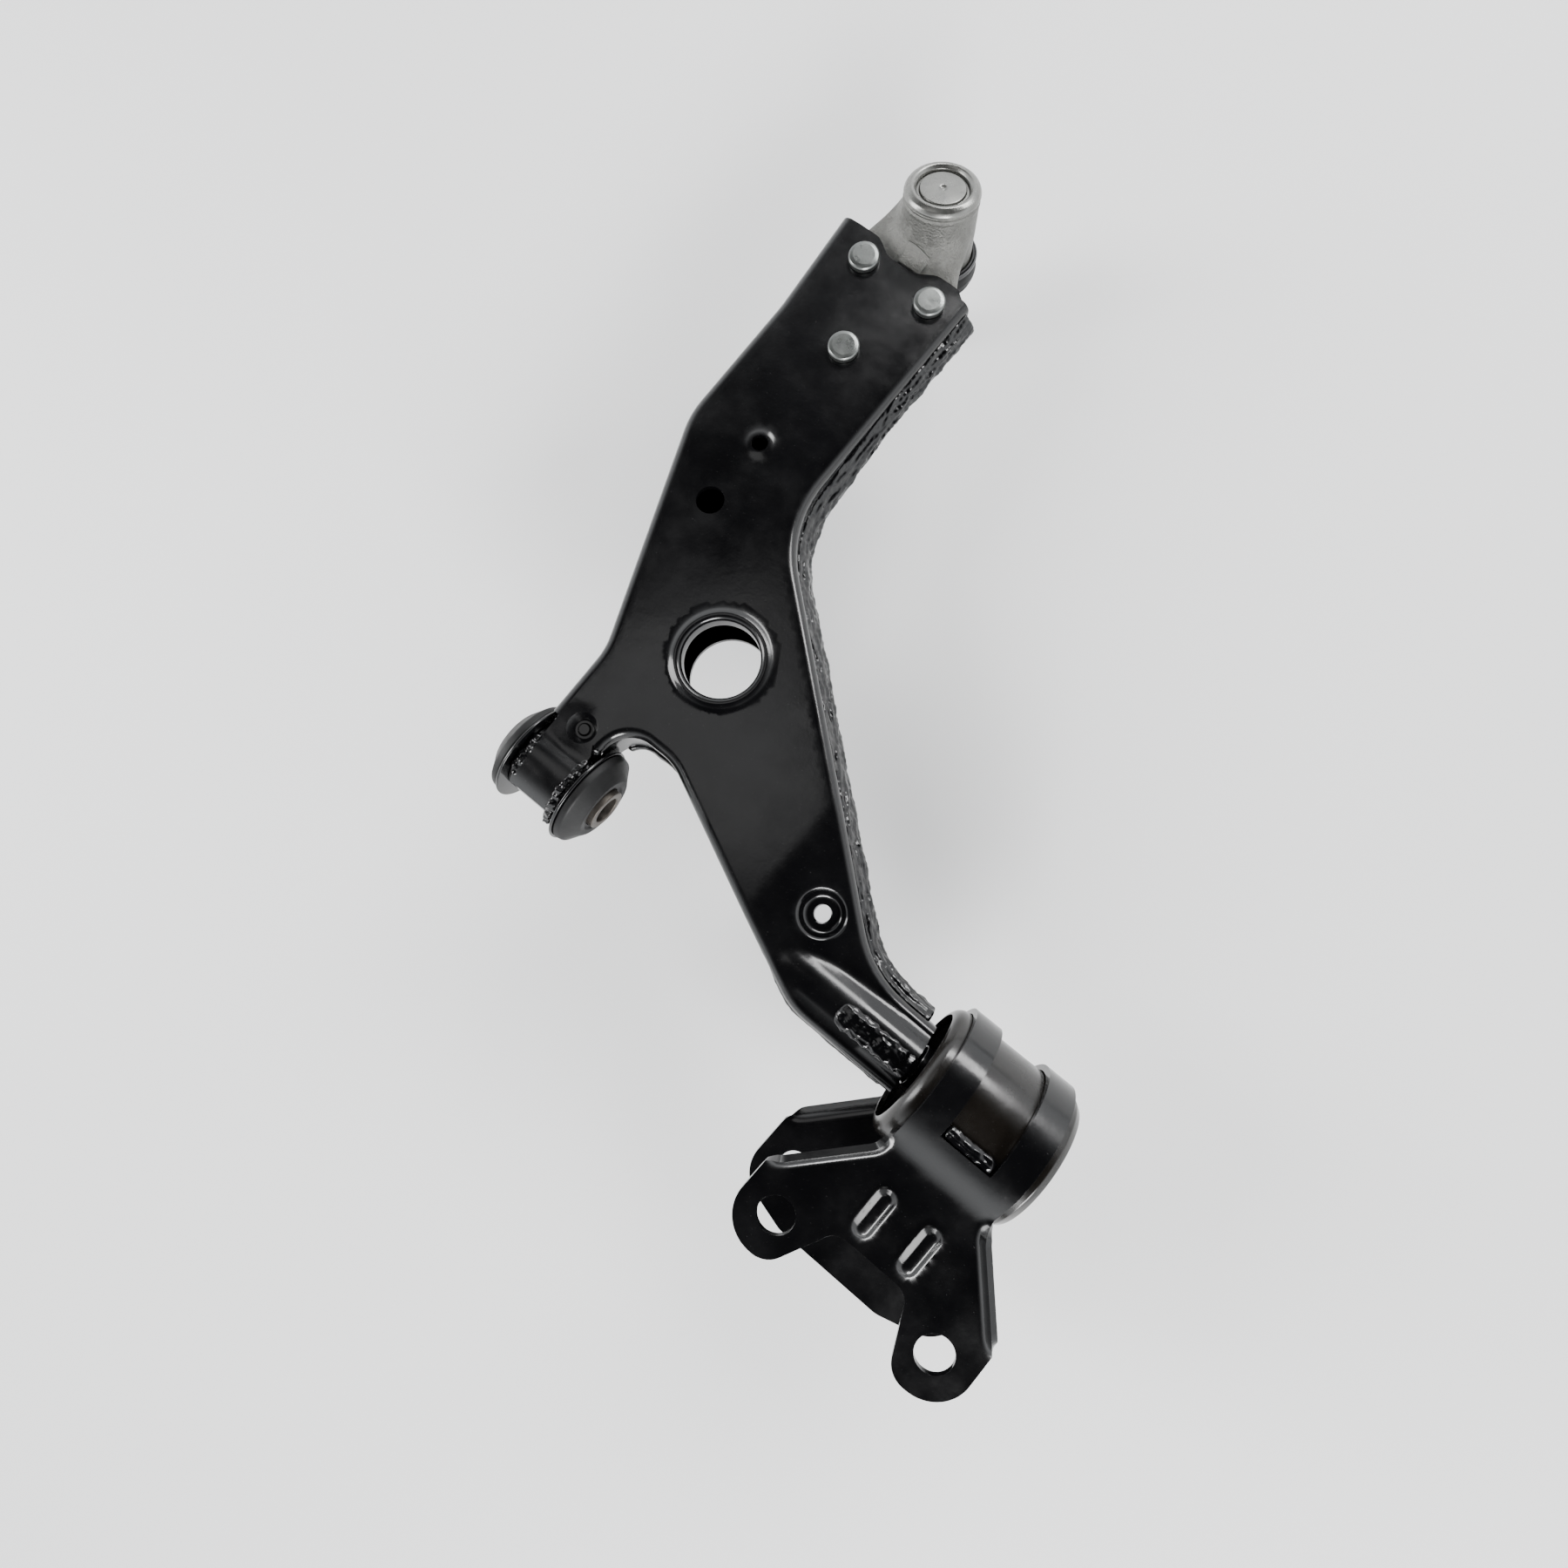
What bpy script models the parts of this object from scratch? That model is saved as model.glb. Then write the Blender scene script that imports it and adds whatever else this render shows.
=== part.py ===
"""Pressed steel control arm with a riveted ball joint, a front bush and a bracketed rear bush.

World axes in metres. X runs along the pivot line towards the rear bush, Y runs out to the
ball joint and Z is up. The bracket's lower plate lies on Z = 0 with the origin between its bolts.
"""
import math

import bmesh
import bpy
from mathutils import Matrix, Vector
from mathutils.geometry import delaunay_2d_cdt

MM = 0.001

# ---- driving sizes, in millimetres ----------------------------------------------------------
BUSH_SPACING = 250.0
PLATE_HALF = 28.5
PIVOT_Y = 85.0
ARM_TILT = math.radians(8.5)
CLEAR = 0.3

SHEET = 3.0
BEND = 5.0
ARM_TOP = 20.0
ARM_FLOOR = -20.0
NOSE_FLOOR = 7.4
WALL_LAP = 9.0

BIG_HOLE = (31.0, 90.0, 18.8)
DIMPLE = (142.0, 27.0, 15.5)
PIP = (0.5, 24.0, 7.3)
SMALL_HOLES = [(-22.5, 185.0, 4.1), (-23.5, 148.0, 7.0)]
RIVETS = [(-42.6, 292.0), (-1.7, 291.4), (-20.8, 248.2)]
RIVET_SHANK = 5.0

EYE_RADIUS = 19.2
EYE_HALF = 16.0
SLEEVE_BORE = 7.1
SLEEVE_RADIUS = 10.7
SLEEVE_HALF = 29.5

JOINT_CAP = Vector((-27.6, 334.0, 38.0))
JOINT_AXIS = Vector((-0.098, 0.208, 1.0)).normalized()
HOUSING_RADIUS = 19.3
BALL_RADIUS = 12.5
STUD_RADIUS = 8.5

CAN_RADIUS = 33.9
CAN_SHEET = 2.4
STRAP_RADIUS = 37.5
STRAP_HALF = 26.6
BAND_INNER = 12.9
BOLT_X = 43.0
BOLT_Y = -83.5

for thing in list(bpy.data.objects):
    bpy.data.objects.remove(thing, do_unlink=True)


# ---- materials ------------------------------------------------------------------------------
def material(name, colour, roughness, metallic):
    made = bpy.data.materials.new(name)
    made.use_nodes = True
    made.diffuse_color = (*colour, 1.0)
    shader = made.node_tree.nodes["Principled BSDF"]
    shader.inputs["Base Color"].default_value = (*colour, 1.0)
    shader.inputs["Roughness"].default_value = roughness
    shader.inputs["Metallic"].default_value = metallic
    return made


BLACK = (0.012, 0.012, 0.013)
SILVER = (0.62, 0.62, 0.6)
RUBBER = (0.02, 0.02, 0.02)


# ---- placing --------------------------------------------------------------------------------
def frame_empty(name, location, rotation):
    empty = bpy.data.objects.new(name, None)
    empty.empty_display_size = 0.02
    empty.location = location
    empty.rotation_euler = rotation
    bpy.context.collection.objects.link(empty)
    return empty


PIVOT = Vector((0.0, PIVOT_Y * MM, PLATE_HALF * MM))
ARM = frame_empty("arm_frame", PIVOT - Vector((BUSH_SPACING * MM, 0, 0)), (-ARM_TILT, 0, 0))
BRACKET = frame_empty("bracket_frame", PIVOT, (0, 0, 0))
JOINT = frame_empty("joint_frame", JOINT_CAP * MM, (0, 0, 0))
JOINT.rotation_euler = Vector((0, 0, 1)).rotation_difference(JOINT_AXIS).to_euler()
JOINT.parent = ARM


def node(name, verts, faces, parent, look):
    mesh = bpy.data.meshes.new(name)
    mesh.from_pydata([Vector(v) * MM for v in verts], [], faces)
    obj = bpy.data.objects.new(name, mesh)
    bpy.context.collection.objects.link(obj)
    obj.parent = parent
    mesh.materials.append(material(name, *look))
    work = bmesh.new()
    work.from_mesh(mesh)
    bmesh.ops.recalc_face_normals(work, faces=work.faces)
    work.to_mesh(mesh)
    work.free()
    return obj


# ---- outline helpers ------------------------------------------------------------------------
def rounded(corners, step=14.0):
    """Open path through (x, y, radius) corners with true arcs at each rounded corner."""
    path = [Vector(corners[0][:2])]
    for before, here, after in zip(corners, corners[1:], corners[2:]):
        point = Vector(here[:2])
        back = (Vector(before[:2]) - point).normalized()
        ahead = (Vector(after[:2]) - point).normalized()
        if here[2] == 0:
            path.append(point)
            continue
        half = back.angle(ahead) / 2
        reach = here[2] / math.tan(half)
        centre = point + (back + ahead).normalized() * here[2] / math.sin(half)
        start = point + back * reach - centre
        turn = math.pi - 2 * half
        if back.x * ahead.y - back.y * ahead.x > 0:
            turn = -turn
        count = max(2, math.ceil(abs(math.degrees(turn)) / step))
        for i in range(count + 1):
            path.append(centre + Matrix.Rotation(turn * i / count, 2) @ start)
    path.append(Vector(corners[-1][:2]))
    return path


def spaced(path, gap):
    """The same path with extra points so no step is longer than gap."""
    result = [path[0]]
    for a, b in zip(path, path[1:]):
        count = max(1, round((b - a).length / gap))
        result += [a.lerp(b, i / count) for i in range(1, count + 1)]
    return result


def inset(path, distance):
    """Path moved to the right of its direction of travel."""
    moved = []
    for i, point in enumerate(path):
        before = (point - path[i - 1]).normalized() if i else None
        after = (path[i + 1] - point).normalized() if i + 1 < len(path) else None
        before = before or after
        after = after or before
        across = Vector((before.y, -before.x)) + Vector((after.y, -after.x))
        across.normalize()
        stretch = across.dot(Vector((before.y, -before.x)))
        moved.append(point + across * distance / stretch)
    return moved


def ring(x, y, radius, count):
    return [
        Vector((x + radius * math.cos(2 * math.pi * i / count), y + radius * math.sin(2 * math.pi * i / count)))
        for i in range(count)
    ]


def flared(loop):
    """The loop grown by the collar's bend."""
    centre = sum(loop, Vector((0, 0))) / len(loop)
    return [centre + (p - centre) * (1 + 3.0 / (p - centre).length) for p in loop]


def inside(point, loop):
    """True when the point is inside the closed loop."""
    odd = False
    for a, b in zip(loop, loop[1:] + loop[:1]):
        if (a.y > point.y) != (b.y > point.y):
            if point.x < a.x + (point.y - a.y) * (b.x - a.x) / (b.y - a.y):
                odd = not odd
    return odd


def in_any(point, loops):
    """True when the point is inside one of the convex loops."""
    for loop in loops:
        turns = []
        for a, b in zip(loop, loop[1:] + loop[:1]):
            turns.append((b - a).x * (point - a).y - (b - a).y * (point - a).x > 0)
        if all(turns) or not any(turns):
            return True
    return False


def smooth(t):
    t = min(1.0, max(0.0, t))
    return t * t * (3 - 2 * t)


def soft_max(a, b, blend):
    gap = max(blend - abs(a - b), 0.0) / blend
    return max(a, b) + gap * gap * blend / 4


def pressed_sheet(name, walls, links, height, wall_end, features, holes, grid, parent, look, side=1):
    """A tray of sheet metal: a shaped face, bent walls along each path in walls, then thickness.

    walls are the paths with a bent edge, links the free edges that join them, both clockwise.
    features are closed loops that the mesh follows, and holes are loops with a collar depth.
    """
    verts = []
    faces = []
    edge_loop = []
    for path, link in zip(walls, links):
        rings = []
        turns = [0, 30, 60, 90]
        for angle in turns:
            lean = math.radians(angle)
            line = inset(path, BEND * (1 - math.cos(lean)))
            drop = BEND * (1 - math.sin(lean))
            crown = inset(path, BEND)
            rings.append([(p.x, p.y, height(c.x, c.y) - side * drop) for p, c in zip(line, crown)])
        rings.insert(0, [(p.x, p.y, wall_end(p.x, p.y)) for p in path])
        base = len(verts)
        count = len(path)
        for line in rings:
            verts += line
        for r in range(len(rings) - 1):
            for i in range(count - 1):
                a = base + r * count + i
                faces.append((a, a + 1, a + count + 1, a + count))
        edge_loop += list(range(base + 4 * count, base + 5 * count))
        for point in link:
            edge_loop.append(len(verts))
            verts.append((point.x, point.y, height(point.x, point.y)))
    flat = [Vector(verts[i][:2]) for i in edge_loop]
    owners = list(edge_loop)
    edges = [(i, (i + 1) % len(flat)) for i in range(len(flat))]
    outline = list(flat)
    for loop, depth in holes:
        start = len(flat)
        count = len(loop)
        rims = [loop]
        drops = [0.0]
        if depth:
            rims = [flared(loop), loop, loop]
            drops = [0.0, 2.5, depth]
        base = len(verts)
        for rim, drop in zip(rims, drops):
            verts += [(p.x, p.y, height(q.x, q.y) - side * drop) for p, q in zip(rim, rims[0])]
        for r in range(len(rims) - 1):
            for i in range(count):
                j = (i + 1) % count
                a = base + r * count
                faces.append((a + i, a + j, a + count + j, a + count + i))
        flat += rims[0]
        owners += list(range(base, base + count))
        edges += [(start + i, start + (i + 1) % count) for i in range(count)]
    for loop in features:
        start = len(flat)
        flat += loop
        owners += [None] * len(loop)
        edges += [(start + i, start + (i + 1) % len(loop)) for i in range(len(loop))]
    tongue_rows = [Vector((x, y)) for y in (16, 12, 7, 1, -5, -11) for x in (-6.2, 0, 6.2)]
    flat += tongue_rows
    owners += [None] * len(tongue_rows)
    taken = list(flat)
    low = Vector((min(p.x for p in outline), min(p.y for p in outline)))
    high = Vector((max(p.x for p in outline), max(p.y for p in outline)))
    row = 0
    y = low.y
    while y < high.y:
        x = low.x + (grid / 2 if row % 2 else 0)
        while x < high.x:
            spot = Vector((x, y))
            clear = min((spot - p).length for p in taken) > grid * 0.6
            if clear and inside(spot, outline):
                flat.append(spot)
                owners.append(None)
            x += grid
        y += grid * 0.87
        row += 1
    found, _, tris, origin, _, _ = delaunay_2d_cdt(flat, edges, [], 1, 1e-5)
    openings = [loop if not depth else flared(loop) for loop, depth in holes]
    tris = [tri for tri in tris if not in_any(sum((found[i] for i in tri), Vector((0, 0))) / 3, openings)]
    index = []
    for point, source in zip(found, origin):
        owner = next((owners[s] for s in source if owners[s] is not None), None)
        if owner is None:
            owner = len(verts)
            verts.append((point.x, point.y, height(point.x, point.y)))
        index.append(owner)
    faces += [tuple(index[i] for i in tri) for tri in tris]
    obj = node(name, verts, faces, parent, look)
    work = bmesh.new()
    work.from_mesh(obj.data)
    top = max(work.faces, key=lambda f: f.calc_area() * abs(f.normal.z))
    if top.normal.z * side < 0:
        bmesh.ops.reverse_faces(work, faces=work.faces)
    work.to_mesh(obj.data)
    work.free()
    thick = obj.modifiers.new("sheet", "SOLIDIFY")
    thick.thickness = SHEET * MM
    thick.offset = -1
    thick.use_even_offset = True
    return obj


def lathe(name, profile, parent, look, axis="X", count=30, sweep=360.0, start=0.0):
    """Closed (along, radius) profile turned about the parent's X or Z axis."""
    closed = sweep >= 360.0
    steps = count if closed else count + 1
    verts = []
    for i in range(steps):
        angle = math.radians(start + sweep * i / count)
        for along, radius in profile:
            a = radius * math.cos(angle)
            b = radius * math.sin(angle)
            verts.append((along, a, b) if axis == "X" else (a, b, along))
    n = len(profile)
    faces = []
    for i in range(count):
        j = (i + 1) % steps
        for k in range(n):
            m = (k + 1) % n
            if profile[k][1] == 0 and profile[m][1] == 0:
                continue
            faces.append((i * n + k, i * n + m, j * n + m, j * n + k))
    if not closed:
        faces.append(tuple(range(n)))
        faces.append(tuple(range((steps - 1) * n, steps * n)))
    obj = node(name, verts, faces, parent, look)
    work = bmesh.new()
    work.from_mesh(obj.data)
    bmesh.ops.remove_doubles(work, verts=work.verts, dist=1e-6)
    bmesh.ops.dissolve_degenerate(work, edges=work.edges, dist=1e-6)
    bmesh.ops.recalc_face_normals(work, faces=work.faces)
    work.to_mesh(obj.data)
    work.free()
    return obj


def boolean(target, cutter, operation):
    cutter.hide_render = True
    cutter.display_type = "WIRE"
    step = target.modifiers.new(cutter.name, "BOOLEAN")
    step.operation = operation
    step.solver = "EXACT"
    step.object = cutter


def prism(name, outline, low, high, parent, look):
    n = len(outline)
    verts = [(p.x, p.y, low) for p in outline] + [(p.x, p.y, high) for p in outline]
    faces = [tuple(range(n)), tuple(range(n, 2 * n))]
    faces += [(i, (i + 1) % n, n + (i + 1) % n, n + i) for i in range(n)]
    return node(name, verts, faces, parent, look)


PAINT = (BLACK, 0.3, 0.0)
BARE = (SILVER, 0.45, 0.9)
SOFT = (RUBBER, 0.8, 0.0)

# ---- arm shells -----------------------------------------------------------------------------
OUTER_SIDE = [(18, 303, 0), (17, 164, 55), (178, 24, 50), (214, 23, 0)]
INNER_SIDE = [(214, -15, 0), (157, -14.5, 35), (44, 39, 30), (13.5, 39, 16), (13.5, 21, 0)]
LEFT_SIDE = [(-14.5, 22, 0), (-14.5, 61, 40), (-59, 178, 45), (-59, 250, 60), (-63.5, 306, 0)]


def nose_edge(x):
    """Front edge of the shells, with a shallow notch over the middle of the joint plate."""
    return 306.5 - 6 * smooth((20 - abs(x + 26)) / 14) - 2 * smooth((x - 2) / 12)


def tail_base(x):
    """Height of the tail's flat beside the raised half tube."""
    return ARM_TOP - 9.5 * smooth((x - 112) / 58) - 2.0 * smooth((x - 160) / 50)


def half_tube(x, y, radius):
    rise = smooth((x - 118) / 40)
    return math.sqrt(max(radius * radius - y * y, 1.0)) - 4 * (1 - rise)


def features_height(x, y):
    """Local pressings of the upper shell: hole ring, dimple and pip."""
    far = math.hypot(x - BIG_HOLE[0], y - BIG_HOLE[1])
    lift = 1.6 * smooth((25.5 - far) / 3.5)
    far = math.hypot(x - DIMPLE[0], y - DIMPLE[1])
    lift -= 5.0 * smooth((DIMPLE[2] - far) / 5.5)
    far = math.hypot(x - PIP[0], y - PIP[1])
    lift -= 1.2 * smooth((PIP[2] - far) / 1.5)
    return lift


def upper_height(x, y):
    base = tail_base(x)
    if x > 118:
        base = soft_max(base, half_tube(x, y, 16.0), 1.5)
    if x < 20 and y < 12:
        base = max(math.sqrt(max(22.8 ** 2 - y * y, 1.0)), 14.0)
    return base + features_height(x, y)


def lower_height(x, y):
    base = ARM_FLOOR + (NOSE_FLOOR - ARM_FLOOR) * smooth((y - 160) / 80)
    base += 8.0 * smooth((x - 112) / 58)
    if x > 118:
        base = -soft_max(-base, half_tube(x, y, 16.0), 1.5)
    if x < 20 and y < 12:
        base = -max(math.sqrt(max(22.8 ** 2 - y * y, 1.0)), 14.0)
    return base


def seam_height(x, y):
    """Lower end of the upper shell's walls."""
    return -5.0 + 14.0 * smooth((y - 160) / 80) + 3.0 * smooth((x - 112) / 58)


def lower_wall_end(x, y):
    return seam_height(x, y) + WALL_LAP - 5.0 * smooth((y - 160) / 80) - 4.0 * smooth((x - 112) / 58)


def shell_links(edge):
    """Free edges of a shell: the tail, the tongue over the front tube and the wavy nose."""
    tail = [Vector((214, y)) for y in (12, 6, 0, -5)]
    tongue = []
    for x, sign in ((12.5, 1), (-12.5, -1)):
        column = [Vector((x, y)) for y in (16, 12, 7, 1, -5, -11, -17)]
        tongue += column if sign > 0 else column[::-1]
        if sign > 0:
            tongue += [Vector((t, -17)) for t in (6, 0, -6)]
    nose = [Vector((x, nose_edge(x) + edge)) for x in range(-53, 10, 5)]
    return [tail, tongue, nose]


def shell_walls(depth):
    return [inset(spaced(rounded(side), 14.0), depth) for side in (OUTER_SIDE, INNER_SIDE, LEFT_SIDE)]


def circle_features(scale):
    loops = []
    for x, y, radius, count in ((*DIMPLE[:2], 15.5, 18), (*DIMPLE[:2], 10.0, 18), (*PIP[:2], 7.3, 12)):
        loops.append(ring(x, y, radius * scale, count))
    loops.append(ring(PIP[0], PIP[1], 5.8, 12))
    loops.append(ring(BIG_HOLE[0], BIG_HOLE[1], 25.5, 24))
    return loops


def slot_outline(half, end):
    """Slot along the tail with a round inner end."""
    path = [Vector((end, half)), Vector((end, -half))]
    for turn in range(0, 181, 30):
        lean = math.radians(turn)
        path.append(Vector((181 - half * math.sin(lean), -half * math.cos(lean))))
    return path


slot = slot_outline(5.2, 203)
rivet_holes = [(ring(x, y, RIVET_SHANK + CLEAR, 12), 0) for x, y in RIVETS]
upper_holes = [(ring(*BIG_HOLE, 24), 9.0), (ring(DIMPLE[0], DIMPLE[1], 4.5, 12), 0), (slot, 0)]
upper_holes += [(ring(x, y, r, 14), 0) for x, y, r in SMALL_HOLES]
lower_holes = [(ring(BIG_HOLE[0], BIG_HOLE[1], 21.0, 24), 0), (ring(DIMPLE[0], DIMPLE[1], 4.5, 12), 0)]

pressed_sheet(
    "upper_shell", shell_walls(0), shell_links(0), upper_height, seam_height,
    circle_features(1.0), upper_holes + rivet_holes, 12.0, ARM, PAINT,
)
pressed_sheet(
    "lower_shell", shell_walls(SHEET + CLEAR), shell_links(-1), lower_height, lower_wall_end,
    [], lower_holes + rivet_holes, 14.0, ARM, PAINT, side=-1,
)


# ---- seam welds -----------------------------------------------------------------------------
def seam_weld(name, corners, keep):
    """A bead under the upper shell's wall, against the lower shell's wall."""
    path = [p for p in spaced(rounded(corners), 9.0) if keep(p)]
    section = [(SHEET, -0.3), (-1.4, -0.3), (-2.2, -2.0), (-1.0, -4.2), (SHEET - 0.8, -5.4), (SHEET, -5.0)]
    lines = [inset(path, depth) for depth, _ in section]
    verts = []
    for i in range(len(path)):
        seam = seam_height(path[i].x, path[i].y)
        verts += [(line[i].x, line[i].y, seam + drop) for line, (_, drop) in zip(lines, section)]
    n = len(section)
    faces = [tuple(range(n)), tuple(range(len(verts) - n, len(verts)))]
    for i in range(len(path) - 1):
        for k in range(n):
            m = (k + 1) % n
            faces.append((i * n + k, i * n + m, (i + 1) * n + m, (i + 1) * n + k))
    return node(name, verts, faces, ARM, PAINT)


seam_weld("outer_seam_weld", OUTER_SIDE, lambda p: p.y < 285 and p.x < 208)
seam_weld("inner_seam_weld", INNER_SIDE, lambda p: p.x < 208 and (p.y > 30 or p.x > 20))
seam_weld("left_seam_weld", LEFT_SIDE, lambda p: 30 < p.y < 285)

# ---- front bush -----------------------------------------------------------------------------
tube_in = EYE_RADIUS - 2.3
lathe("front_eye_tube", [(-16, tube_in), (16, tube_in), (16, EYE_RADIUS), (-16, EYE_RADIUS)], ARM, PAINT)
for label, sign in (("front", -1), ("rear", 1)):
    bead = [(13.4, 19.5), (15.6, 19.5), (15.4, 21.2), (14.4, 22.0), (13.4, 21.6)]
    bead = [(sign * a, r) for a, r in bead]
    lathe("eye_weld_" + label, bead, ARM, PAINT, count=16, sweep=170.0, start=35.0)
    liner = [(0.6, 15.4), (18.2, 15.4), (18.2, 26.4), (16.4, 26.4), (16.4, 16.6), (0.6, 16.6)]
    lathe("bush_flange_" + label, [(sign * a, r) for a, r in liner], ARM, (BLACK, 0.35, 0.4))
    pad = [(0.6, 11.0), (27.0, 11.0), (27.0, 15.5), (25.5, 18.5), (21.0, 21.0), (18.5, 22.0), (18.5, 15.1), (0.6, 15.1)]
    lathe("front_bush_rubber_" + label, [(sign * a, r) for a, r in pad], ARM, SOFT)
sleeve = [
    (-SLEEVE_HALF, SLEEVE_BORE + 0.6), (-SLEEVE_HALF + 0.6, SLEEVE_BORE), (SLEEVE_HALF - 0.6, SLEEVE_BORE),
    (SLEEVE_HALF, SLEEVE_BORE + 0.6), (SLEEVE_HALF, SLEEVE_RADIUS), (-SLEEVE_HALF, SLEEVE_RADIUS),
]
lathe("front_bush_sleeve", sleeve, ARM, BARE)

# ---- ball joint -----------------------------------------------------------------------------
body = [
    (0.0, 16.6), (0.0, 18.4), (-0.9, HOUSING_RADIUS), (-5.0, HOUSING_RADIUS), (-7.0, 18.6),
    (-20.0, 19.4), (-37.2, 19.4), (-38.2, 18.4), (-38.2, 16.0), (-26.2, 11.3),
    (-22.0, 13.9), (-3.6, 13.9), (-3.6, 16.6),
]
housing = lathe("ball_joint_housing", body, JOINT, (SILVER, 0.5, 0.8), axis="Z", count=30)
spots = []
for x, y in RIVETS[:2]:
    spots += ring(x, y, 9.4, 16)
spots += ring(RIVETS[2][0], RIVETS[2][1], 9.4, 16)
spots += ring(JOINT_CAP.x + 2.2, JOINT_CAP.y - 5.5, 18.5, 20)
spots += ring(-42.5, 311.5, 8.5, 16) + ring(-11.0, 314.0, 8.5, 16)


def hull(points):
    """Convex outline of the points, counter-clockwise."""
    points = sorted((p.x, p.y) for p in points)
    sides = []
    for run in (points, points[::-1]):
        side = []
        for p in run:
            while len(side) > 1:
                ax, ay = side[-1][0] - side[-2][0], side[-1][1] - side[-2][1]
                bx, by = p[0] - side[-1][0], p[1] - side[-1][1]
                if ax * by - ay * bx > 1e-6:
                    break
                side.pop()
            side.append(p)
        sides += side[:-1]
    return [Vector(p) for p in sides]


plate = prism("joint_plate", hull(spots), 10.8, 16.6, ARM, (SILVER, 0.5, 0.8))
neck = [
    (-53, 307.6), (-38, 307.6), (-35, 304), (-31.5, 301.6), (-20.5, 301.6), (-17, 304), (-14, 307.6), (3, 307.6),
    (-2, 315), (-4.5, 322), (-8, 332), (-47, 332), (-49.5, 318), (-52.5, 309.5),
]
shoulder = prism("joint_shoulder", [Vector(p) for p in neck], 11.2, 33.0, ARM, (SILVER, 0.5, 0.8))
slope = lathe("joint_slope", [(5.0, 0.0), (5.0, 44.0), (30.0, 18.8), (30.0, 0.0)], ARM, SOFT, axis="Z", count=30)
slope.location = (-26.4 * MM, 331.6 * MM, 0)
boolean(shoulder, slope, "INTERSECT")
boolean(plate, shoulder, "UNION")
room = lathe("joint_room", [(-60.0, 0.0), (-60.0, 18.0), (12.0, 18.0), (12.0, 0.0)], JOINT, SOFT, axis="Z", count=30)
boolean(plate, room, "DIFFERENCE")
for i, (x, y) in enumerate(RIVETS):
    drill = prism("rivet_drill_%d" % (i + 1), ring(x, y, RIVET_SHANK + CLEAR, 16), 5.0, 25.0, ARM, SOFT)
    boolean(plate, drill, "DIFFERENCE")
boolean(housing, plate, "UNION")

cover = [(-3.4, 0.0), (-3.4, 13.6), (-3.3, 16.3), (-1.7, 16.3), (-1.5, 13.2), (-2.0, 2.2), (-2.6, 0.0)]
lathe("ball_joint_cover", cover, JOINT, (SILVER, 0.4, 0.9), axis="Z", count=26)
centre = -17.5
seat = [(-3.7, 0.0), (-3.7, 13.5), (-21.6, 13.5), (-25.7, 10.6)]
for angle in range(-38, 91, 16):
    reach = BALL_RADIUS + CLEAR
    seat.append((centre + reach * math.sin(math.radians(angle)), max(0.0, reach * math.cos(math.radians(angle)))))
seat[-1] = (centre + BALL_RADIUS + CLEAR, 0.0)
lathe("ball_seat", seat, JOINT, ((0.75, 0.74, 0.7), 0.6, 0.0), axis="Z", count=22)
stud = [(centre + BALL_RADIUS, 0.0)]
for angle in range(70, -50, -19):
    stud.append((centre + BALL_RADIUS * math.sin(math.radians(angle)), BALL_RADIUS * math.cos(math.radians(angle))))
stud += [
    (-27.5, 7.2), (-46.0, 7.6), (-51.0, STUD_RADIUS), (-67.0, STUD_RADIUS), (-68.5, 7.3), (-72.5, 7.3),
    (-74.0, STUD_RADIUS), (-86.0, STUD_RADIUS), (-88.0, 6.8), (-88.0, 0.0),
]
lathe("ball_stud", stud, JOINT, (SILVER, 0.3, 1.0), axis="Z", count=22)
boot = [
    (-34.0, 19.8), (-34.0, 21.0), (-37.4, 21.2), (-40.0, 22.6), (-43.0, 23.0), (-46.5, 21.6), (-50.5, 17.6),
    (-54.5, 12.6), (-58.5, 11.6), (-58.5, 8.9), (-53.4, 8.9), (-49.4, 14.2), (-45.6, 19.6), (-42.6, 20.6),
    (-40.6, 20.2), (-38.6, 19.8),
]
lathe("dust_boot", boot, JOINT, SOFT, axis="Z", count=26)
band = [(-34.6, 21.4), (-34.6, 22.7), (-37.0, 22.7), (-37.0, 21.5)]
lathe("boot_upper_ring", band, JOINT, (BLACK, 0.35, 0.5), axis="Z", count=22)
band = [(-54.9, 12.9), (-54.9, 14.2), (-57.8, 13.6), (-57.8, 12.1)]
lathe("boot_lower_ring", band, JOINT, (BLACK, 0.35, 0.5), axis="Z", count=16)

rivet = [
    (24.0, 0.0), (24.0, 7.2), (23.4, 7.9), (20.3, 7.9), (20.3, RIVET_SHANK), (6.9, RIVET_SHANK),
    (6.9, 7.4), (4.0, 6.9), (3.0, 5.2), (3.0, 0.0),
]
for i, (x, y) in enumerate(RIVETS):
    made = lathe("rivet_%d" % (i + 1), rivet, ARM, (SILVER, 0.35, 0.9), axis="Z", count=16)
    made.location = (x * MM, y * MM, 0)

# ---- tail shaft -----------------------------------------------------------------------------
rear = BUSH_SPACING
shaft = [
    (170, 0.0), (170, 7.0), (171, 7.8), (214.5, 7.8), (216.5, 10.7),
    (rear + 29, 10.7), (rear + 30, 9.7), (rear + 30, 0.0),
]
lathe("tail_shaft", shaft, ARM, PAINT, count=24)


prism("slot_weld", slot_outline(3.7, 201.5), 12.9, 17.2, ARM, PAINT)

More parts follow.
